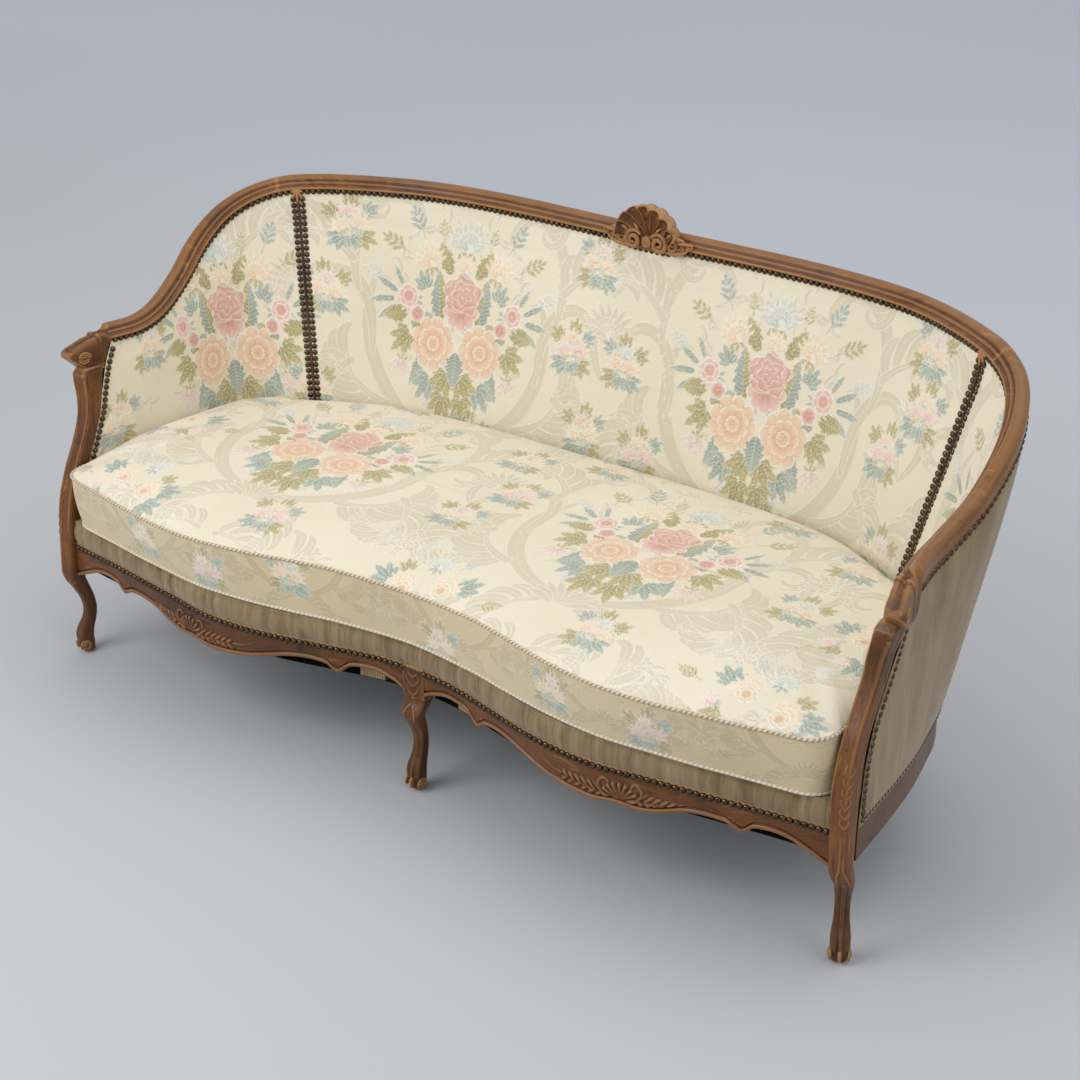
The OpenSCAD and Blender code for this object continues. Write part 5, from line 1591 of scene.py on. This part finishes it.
def make_covers():
    """Velvet outside the sides and the back."""
    def side_edge(side, near):
        return lambda h: side * (along(rear_post_share, h, fit_gap) if near else arm_edge(h))

    def back_edge(side):
        return lambda h: side * along(rear_post_share, h, -fit_gap)
    # Piece, node, edges, flat width, crown, columns of faces and what the cover lies on
    covers = [("side_cover_velvet_" + word, "outer_side_cover_" + word, side_edge(side, True),
        side_edge(side, False), side_cover_w, cover_crown, side_cover_cols,
        ["side_rail_" + word, "arm_rail_" + word, "front_post_" + word])
        for side, word in ((1, "right"), (-1, "left"))]
    covers.append(("back_cover_velvet", "outer_back_cover", back_edge(-1), back_edge(1), back_cover_w,
        back_cover_crown, back_cover_cols, ["back_rail", "crest_rail"]))
    for name, node_name, a, b, width, crown, cols, rests_on in covers:
        def outside(u, w):
            return cover_in + cover_t + crown * swell(u, w) - 0.4 * dimple(u, w, width, 0.5)
        outer = panel_points(a, b, seat_z + fit_gap, 9 * fit_gap, outside, cols, cover_rows)[0]
        inner = panel_points(a, b, seat_z + fit_gap, 9 * fit_gap, lambda u, w: cover_in + 0 * u, cols, 2)[0]
        shape = Shape()
        shape.sheet(outer, inner)
        piece = shape.object(name, velvet, slot="outer_velvet")
        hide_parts(node_name)


def cloth_copy(name, node_name, material, give):
    """Cloth cut to the shape of a node: its faces finely cut, with a little give between its tacks."""
    source = frame["nodes"][node_name]
    longest = 0.05
    mesh = source.data.copy()
    mesh.transform(source.matrix_world)
    m = bmesh.new()
    m.from_mesh(mesh)
    for _ in range(4):
        far = [e for e in m.edges if e.calc_length() > longest]
        if not far:
            break
        bmesh.ops.subdivide_edges(m, edges=far, cuts=1, use_grid_fill=True)
    bmesh.ops.triangulate(m, faces=[f for f in m.faces if len(f.verts) > 4])
    for v in m.verts:
        x, y = v.co.x, v.co.y
        v.co.z += give * (math.sin(31 * x + 2) * math.sin(27 * y + 1) * 0.5 - 0.5)
    m.to_mesh(mesh)
    m.free()
    mesh.materials.clear()
    mesh.materials.append(material)
    piece = bpy.data.objects.new(name, mesh)
    bpy.context.scene.collection.objects.link(piece)
    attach(piece, "sofa_frame")
    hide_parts(node_name)


def make_inner_cloth():
    jute = coarse_weave("jute", (0.22, 0.15, 0.08), (0.50, 0.38, 0.22), 300.0)
    burlap = coarse_weave("burlap", (0.20, 0.14, 0.08), (0.46, 0.35, 0.20), 260.0)
    cambric = coarse_weave("cambric", (0.008, 0.008, 0.008), (0.03, 0.03, 0.03), 500.0)
    cloth_copy("webbing_bands", "seat_webbing", jute, 0.0002)
    cloth_copy("dust_cover_cloth", "dust_cover", cambric, 0.0003)
    cloth_copy("burlap_back", "back_burlap", burlap, 0.0)
    for word in ("left", "right"):
        cloth_copy("burlap_side_" + word, "side_burlap_" + word, burlap, 0.0)


# Nails and piping


def dome_points():
    """Points and faces of one domed nail head of radius 1, its base at height 0."""
    rings = [(1.0, 0.0), (0.99, 0.14), (0.93, 0.34), (0.78, 0.55), (0.5, 0.72), (0.2, 0.79)]
    count = 10
    a = np.linspace(0, 2 * math.pi, count, endpoint=False)
    points = [[r * math.cos(t), r * math.sin(t), h] for r, h in rings for t in a] + [[0, 0, 0.8]]
    quads = grid_quads(len(rings), count, True)
    last = (len(rings) - 1) * count
    tris = [[last + k, last + (k + 1) % count, len(points) - 1] for k in range(count)]
    return np.array(points), quads, np.array(tris)


dome = dome_points()
# Radii and pitch of the nails, their drop below the tacking line, and the shell's half width
nail_r = 0.0061
small_nail_r = 0.0042
nail_pitch = 0.0124
rail_nail_drop = 0.0095
shell_half_w = 0.060
# Pitch of the cord's rings, and half the lay of its yarns
cord_step = 0.0016
cord_lay = 0.0045


def nails(shape, line, normals, radius):
    """Domed nail heads along a line, standing on the surface that the normals leave."""
    q, way = even(line, nail_pitch)
    run = run_along(line)
    at = np.linspace(0, run[-1], len(q))
    out = unit(at_run(at, run, normals))
    tang = unit(way - (way * out).sum(-1, keepdims=True) * out)
    side = np.cross(out, tang)
    points, quads, tris = dome
    for k in range(len(q)):
        wobble = 0.0003 * math.sin(12.9 * k + 3 * q[k, 0])
        c = q[k] + wobble * side[k]
        placed = c + radius * (points[:, :1] * tang[k] + points[:, 1:2] * side[k] + points[:, 2:] * out[k])
        shape.add(placed, quads, tris)


def wall_nails(shape, s, h, n, way, radius=nail_r):
    """A row on the wall, n outward; way is 1 on its outside and -1 on its inside."""
    s, h, n = np.broadcast_arrays(s, h, n)
    nails(shape, wall(s, h, n), way * wall_normal(s, h), radius)


def below_rail(s, drop):
    """Height share that lies a drop below the tacking line."""
    return 1 - drop / (top_point(s)[..., 2] - seat_z)


def make_nails():
    shape = Shape()
    inside = pad_face - 0.0005
    outside = cover_in + cover_t
    # Along the top rail, dipping under the shell; the strips of the rear posts stay free
    gap = strip_w / 2 + nail_r + 0.0006
    strip_s = along(rear_post_share, 1.0, -gap)
    s = np.linspace(-strip_s, strip_s, 700)
    dip = rail_nail_drop * np.exp(-(np.abs(wall_mid(s, 1.0)[:, 0]) / shell_half_w) ** 6)
    wall_nails(shape, s, below_rail(s, dip), inside - 0.0005, -1)
    for side in (-1, 1):
        s = side * np.linspace(along(rear_post_share, 1.0, gap), arm_edge(1.0, 0.008), 500)
        wall_nails(shape, s, 1.0, inside - 0.0005, -1)
        # Both sides of each strip
        h = np.linspace(height_share(rear_post_share, pad_z + 0.006), 0.975, 200)
        for way in (-1, 1):
            wall_nails(shape, side * along(rear_post_share, h, way * gap), h, inside - lumbar_at(h), -1)
        # Down the arm posts
        h = np.linspace(height_share(1.0, pad_z + 0.006), 0.955, 200)
        wall_nails(shape, side * arm_edge(h, 0.0075), h, inside, -1)
        # Outside: under the rail, down the arm post and along the seat rail
        s = side * np.linspace(along(rear_post_share, 1.0, 0.01), arm_edge(1.0, 0.01), 400)
        wall_nails(shape, s, below_rail(s, rail_nail_drop), outside, 1)
        h = np.linspace(0.03, 0.93, 200)
        wall_nails(shape, side * arm_edge(h, 0.009), h, outside, 1)
        s = side * np.linspace(along(rear_post_share, 0.02, 0.03), arm_edge(0.02, 0.012), 300)
        wall_nails(shape, s, height_share(s, seat_z + 0.0085), outside, 1, small_nail_r)
    # Along the front rail, below the velvet
    x = np.linspace(-0.846, 0.846, 1200)
    y = front_y(x)
    face = point(np.gradient(y) / np.gradient(x), -1, 0)
    nails(shape, point(x, y - 0.0002, seat_z - 0.0065), unit(face), nail_r)
    shape.object("nail_heads", bronze)


def seam(points, z):
    return point(points[:, 0], points[:, 1], z)


def twisted_cord(name, line, radius, light, dark):
    """Two yarns twisted into a piping cord along a closed line, with painted shade in the grooves between
    them.
    """
    q, way = even(line, cord_step, closed=True)
    count = 12
    turn = np.linspace(0, 2 * math.pi, count, endpoint=False)
    side = unit(np.cross(way, np.array([0, 0, 1.0])))
    up = np.cross(side, way)
    lay = np.arange(len(q))[:, None] * cord_step / cord_lay * math.pi
    lobe = np.abs(np.cos(turn[None, :] - lay))
    r = radius * (0.72 + 0.28 * lobe)
    rings = q[:, None] + r[..., None] * (np.cos(turn)[None, :, None] * side[:, None]
        + np.sin(turn)[None, :, None] * up[:, None])
    shape = Shape()
    shape.add(rings, closed_quads(len(q), count))
    piece = shape.object(name, cord, body="cushion", slot="brocade_cushion")
    yarn = (np.cos(turn[None, :] - lay) > -0.5)[..., None]
    # Painted shade: the colour darkens in the grooves between the yarns
    groove = (0.55 + 0.45 * lobe)[..., None]
    colour = np.where(yarn, np.array(light), np.array(dark)) * groove
    weave(piece, np.concatenate([colour, np.ones(colour.shape[:2] + (1,))], -1))


# Seat cushion


def cushion_plan(z, shares, count):
    """Outline of the cushion at a height: the gap to the pads behind, the serpentine in front."""
    s = np.linspace(-0.96, 0.96, 841)
    gap = mix(cushion_gap, cushion_post_gap, smooth((np.abs(s) - 0.78) / 0.2))
    beyond = (np.abs(s) - rear_post_share) / (1 - rear_post_share)
    gap = gap + lumbar_at(height_share(s, z)) * lumbar_share(beyond)
    back = wall(s, height_share(s, z), -gap)[:, :2]
    rows = np.array(shares)
    rows = np.vstack([rows[::-1], rows[1:] * [-1, 1]])
    front = spline(rows, np.linspace(0, 1, len(s)))
    front = np.stack([front[:, 0] * half_w, feet_y - front[:, 1] * cushion_reach], -1)
    return smooth_loop(np.vstack([back, front[1:-1]]), count)


def smooth_loop(p, count):
    """Even points round a closed outline, its corners slightly eased."""
    q = even(np.hstack([p, 0 * p[:, :1]]), 0.004, closed=True)[0][:, :2]
    for _ in range(6):
        q = (np.roll(q, 1, 0) + 2 * q + np.roll(q, -1, 0)) / 4
    start = np.argmin(np.hypot(q[:, 0], q[:, 1] + 0.36))
    q = np.roll(q, -start, 0)
    closed = np.vstack([q, q[:1]])
    run = run_along(closed)
    return at_run(np.linspace(0, run[-1], count, endpoint=False), run, closed)


def closed_quads(m, n):
    """Faces of a grid that closes on itself both ways."""
    i = np.arange(m)[:, None]
    j = np.arange(n)[None, :]
    i1, j1 = (i + 1) % m, (j + 1) % n
    return np.stack([i * n + j, i * n + j1, i1 * n + j1, i1 * n + j], -1).reshape(-1, 4)


def crown_at(inset, pressed, steep):
    """Rise of the cushion's top at a share of the way in from its seam; steep where the pads press it."""
    t = 1 - np.clip(inset, 0, 1)
    return mix(1 - t ** 3.2, 0.1 * (1 - t ** 3.2) + 0.9 * (1 - t ** steep), pressed)


def close(piece):
    """Closes the open ends of a mesh and drops points that no face uses."""
    m = bmesh.new()
    m.from_mesh(piece.data)
    bmesh.ops.delete(m, geom=[v for v in m.verts if not v.link_faces], context="VERTS")
    made = bmesh.ops.holes_fill(m, edges=[e for e in m.edges if len(e.link_faces) == 1], sides=0)["faces"]
    made = bmesh.ops.triangulate(m, faces=made, ngon_method="BEAUTY")["faces"]
    for f in made:
        f.smooth = True
    bmesh.ops.recalc_face_normals(m, faces=m.faces)
    m.to_mesh(piece.data)
    m.free()


# Points round the cushion, rows of faces on its boxing and top, and puckers along its seam
cushion_points, boxing_rows, top_rows, puckers = 2000, 46, 160, 190
# Where the pads press the cushion's back edge: y there and the run over which it begins
pressed_y, pressed_run = -0.345, 0.06


def make_cushion(top_canvas, side_canvas):
    count = cushion_points
    low = cushion_plan(cushion_z + 0.1 * cushion_h, cushion_low_shares, count)
    high = cushion_plan(cushion_z + 0.9 * cushion_h, cushion_top_shares, count)
    pressed = smooth((high[:, 1] - pressed_y) / pressed_run)
    steep = mix(7, 22, smooth((high[:, 1] + 0.30) / 0.2))
    n = len(high)
    spine = np.stack([np.clip(high[:, 0] * 0.72, -0.56, 0.56), 0 * high[:, 0] - 0.045], -1)
    # The boxing: share from the lower to the upper outline, height share and share of the way in
    border = [(w, 0.06 + 0.88 * w, -0.010 * math.sin(math.pi * w)) for w in np.linspace(0, 1, boxing_rows)]
    rings = []
    for t, z, inset in [(0, 0, 0.06), (0, 0, 0.02), (0, 0.03, 0.004)] + border + [(1, 0.985, 0.003)]:
        plan = mix(low, high, t) + (spine - high) * inset
        rings.append(point(plan[:, 0], plan[:, 1], cushion_z + z * cushion_h))
    side_rows = len(rings)
    for inset in 0.994 * (1 - np.linspace(1, 0, top_rows) ** 1.15):
        plan = high + (spine - high) * max(inset, 0.006)
        z = cushion_z + cushion_h + cushion_crown * crown_at(inset, pressed, steep)
        lump = 0.0016 * np.sin(9 * plan[:, 0] + 2) * np.sin(13 * plan[:, 1]) * min(1, 4 * inset)
        pucker = 0.0007 * math.exp(-inset * 28) * np.cos(np.arange(n) / n * 2 * math.pi * puckers)
        rings.append(point(plan[:, 0], plan[:, 1], z + lump + pucker))
    rings = np.array(rings)
    shape = Shape()
    shape.loft(rings, caps=False)
    piece = shape.object("seat_cushion_boxed", brocade, body="cushion", slot="brocade_cushion")
    run = run_along(high)
    total = run[-1] + np.linalg.norm(high[0] - high[-1])
    run = np.where(run > total / 2, run - total, run)
    away = np.sign(high[:, 0] + 1e-9) * np.abs(run)
    colours = np.zeros(rings.shape[:2] + (4,))
    for k in range(side_rows):
        colours[k] = side_canvas.sample(away, rings[k, :, 2] - cushion_z)
    colours[side_rows:] = top_canvas.sample(rings[side_rows:, :, 0], rings[side_rows:, :, 1])
    weave(piece, np.vstack([colours.reshape(-1, 4), np.tile(colours[-1, 0], (2, 1))]))
    close(piece)
    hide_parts("seat_cushion")
    top_line = seam(high + (spine - high) * -0.002, cushion_z + cushion_h * 0.99)
    twisted_cord("piping_top", top_line, 0.0030, (0.84, 0.70, 0.50), (0.40, 0.27, 0.16))
    low_line = seam(low + (spine - low) * 0.002, cushion_z + cushion_h * 0.035)
    twisted_cord("piping_bottom", low_line, 0.0031, (0.92, 0.83, 0.64), (0.70, 0.55, 0.38))


def make_deck():
    """Seat platform: its padded velvet front roll and the cloth over the springs."""
    x = np.linspace(-0.8506, 0.8506, 901)
    y = front_y(x) + 3 * fit_gap
    ripple = 0.0006 * np.sin(x * 150) + 0.0005 * np.sin(x * 67 + 1)
    roll = [(0.03, 0.0003), (0.002, 0.0003), (0, 0.004), (-0.003, 0.012), (-0.0045, 0.024),
        (-0.003, 0.034), (0.001, 0.042), (0.006, 0.0465), (0.014, 0.048), (0.03, 0.048)]
    rows = [point(x, y + dy + ripple * (0.004 < z < 0.046), seat_z + z) for dy, z in roll]
    shape = Shape()
    shape.loft(np.stack(rows, 1))
    piece = shape.object("deck_front_velvet", deck_velvet, slot="deck_velvet")
    cloth_copy("deck_cloth", "seat_deck", deck_velvet, 0.0002)


# Stage

# Floor colour near and far; the far colour is painted lighter to make up for the lamps' light falling off
# there: painted light
floor_near = (0.53, 0.535, 0.54)
floor_far = (0.62, 0.635, 0.675)
sky_colour = (0.86, 0.89, 0.94, 1)
sky_strength = 0.74
# Lamps: name, place, size and power; all look at one point
lamps = [("key", (-1.3, -3.0, 2.9), 2.4, 68), ("top", (0.6, 0.6, 3.8), 2.8, 30),
    ("side", (3.6, -0.8, 2.2), 2.0, 12)]
lamp_aim = (0, 0, 0.4)
# Camera, fitted from the photo: place, pitch below level, roll and heading in degrees, lens and sensor in mm
camera_place = (2.281, -2.9775, 2.161)
camera_down, camera_roll, camera_heading = 25.49, 0.03, 37.05
camera_lens, camera_sensor = 75.2, 36


def backdrop_material():
    """Studio paper, painted lighter farther away where the lamps light it less: painted light."""
    m, tree, shader = new_material("studio_grey")
    soft = noise(tree, 0.35, 1.0)
    away = node(tree, "ShaderNodeSeparateXYZ", {"Vector": place(tree, (0.16, 0.16, 1))}).outputs["Y"]
    colour = ramp(tree, away, [(0.0, floor_near), (0.55, floor_far)])
    tone = ramp(tree, soft, [(0.3, (0.97, 0.97, 0.97)), (0.7, white)])
    tree.links.new(blend(tree, 1.0, colour, tone, "MULTIPLY"), shader.inputs["Base Color"])
    finish(shader, rough=0.7, spec=0.2)
    return m


def make_stage():
    bpy.ops.mesh.primitive_plane_add(size=40, location=(0, 0, 0))
    floor = bpy.context.object
    floor.name = "floor"
    floor.data.materials.append(backdrop_material())
    world = bpy.data.worlds.new("studio")
    bpy.context.scene.world = world
    world.use_nodes = True
    sky = world.node_tree.nodes["Background"].inputs
    sky["Color"].default_value = sky_colour
    sky["Strength"].default_value = sky_strength
    for name, spot, size, power in lamps:
        data = bpy.data.lights.new(name, "AREA")
        data.size = size
        data.energy = power
        lamp = bpy.data.objects.new(name, data)
        bpy.context.scene.collection.objects.link(lamp)
        lamp.location = spot
        lamp.rotation_euler = (Vector(lamp_aim) - Vector(spot)).to_track_quat("-Z", "Y").to_euler()


def make_camera():
    data = bpy.data.cameras.new("camera")
    data.lens = camera_lens
    data.sensor_width = camera_sensor
    camera = bpy.data.objects.new("camera", data)
    bpy.context.scene.collection.objects.link(camera)
    camera.location = camera_place
    camera.rotation_euler = [math.radians(a) for a in (90 - camera_down, camera_roll, camera_heading)]
    bpy.context.scene.camera = camera


def dress_frame():
    """Finishes for the nodes that keep their own shape."""
    beech = wood("beech", (0.36, 0.24, 0.13), (0.50, 0.36, 0.22), (0.62, 0.48, 0.32), (1, 9, 9), 0.2, 0.55)
    finishes = {"beech": beech, "walnut": plain_wood,
        "spring_steel": metal_material("spring_steel", (0.30, 0.30, 0.31), (0.50, 0.50, 0.52), 0.35),
        "glide_steel": metal_material("glide_steel", (0.55, 0.55, 0.56), (0.75, 0.75, 0.76), 0.2)}
    for row in frame["record"]["subparts"]:
        o = frame["nodes"][row["node"]]
        kind = "walnut" if row["node"] == "back_rail" else row["material_slot"]
        if kind in finishes:
            for slot in o.material_slots:
                slot.material = finishes[kind]


make_camera()
make_stage()
make_crest_rail()
for side, word in ((1, "right"), (-1, "left")):
    make_arm(side, "arm_rail_" + word)
    make_front_post(side, "front_post_" + word)
    make_front_rail(side, "front_rail_" + word)
make_centre_leg()
make_shell()
make_wing_leaves()
make_pads(wall_cloth())
make_covers()
make_inner_cloth()
make_cushion(seat_cloth(), boxing_cloth())
make_deck()
make_nails()
dress_frame()

bpy.context.scene.view_settings.view_transform = "Standard"
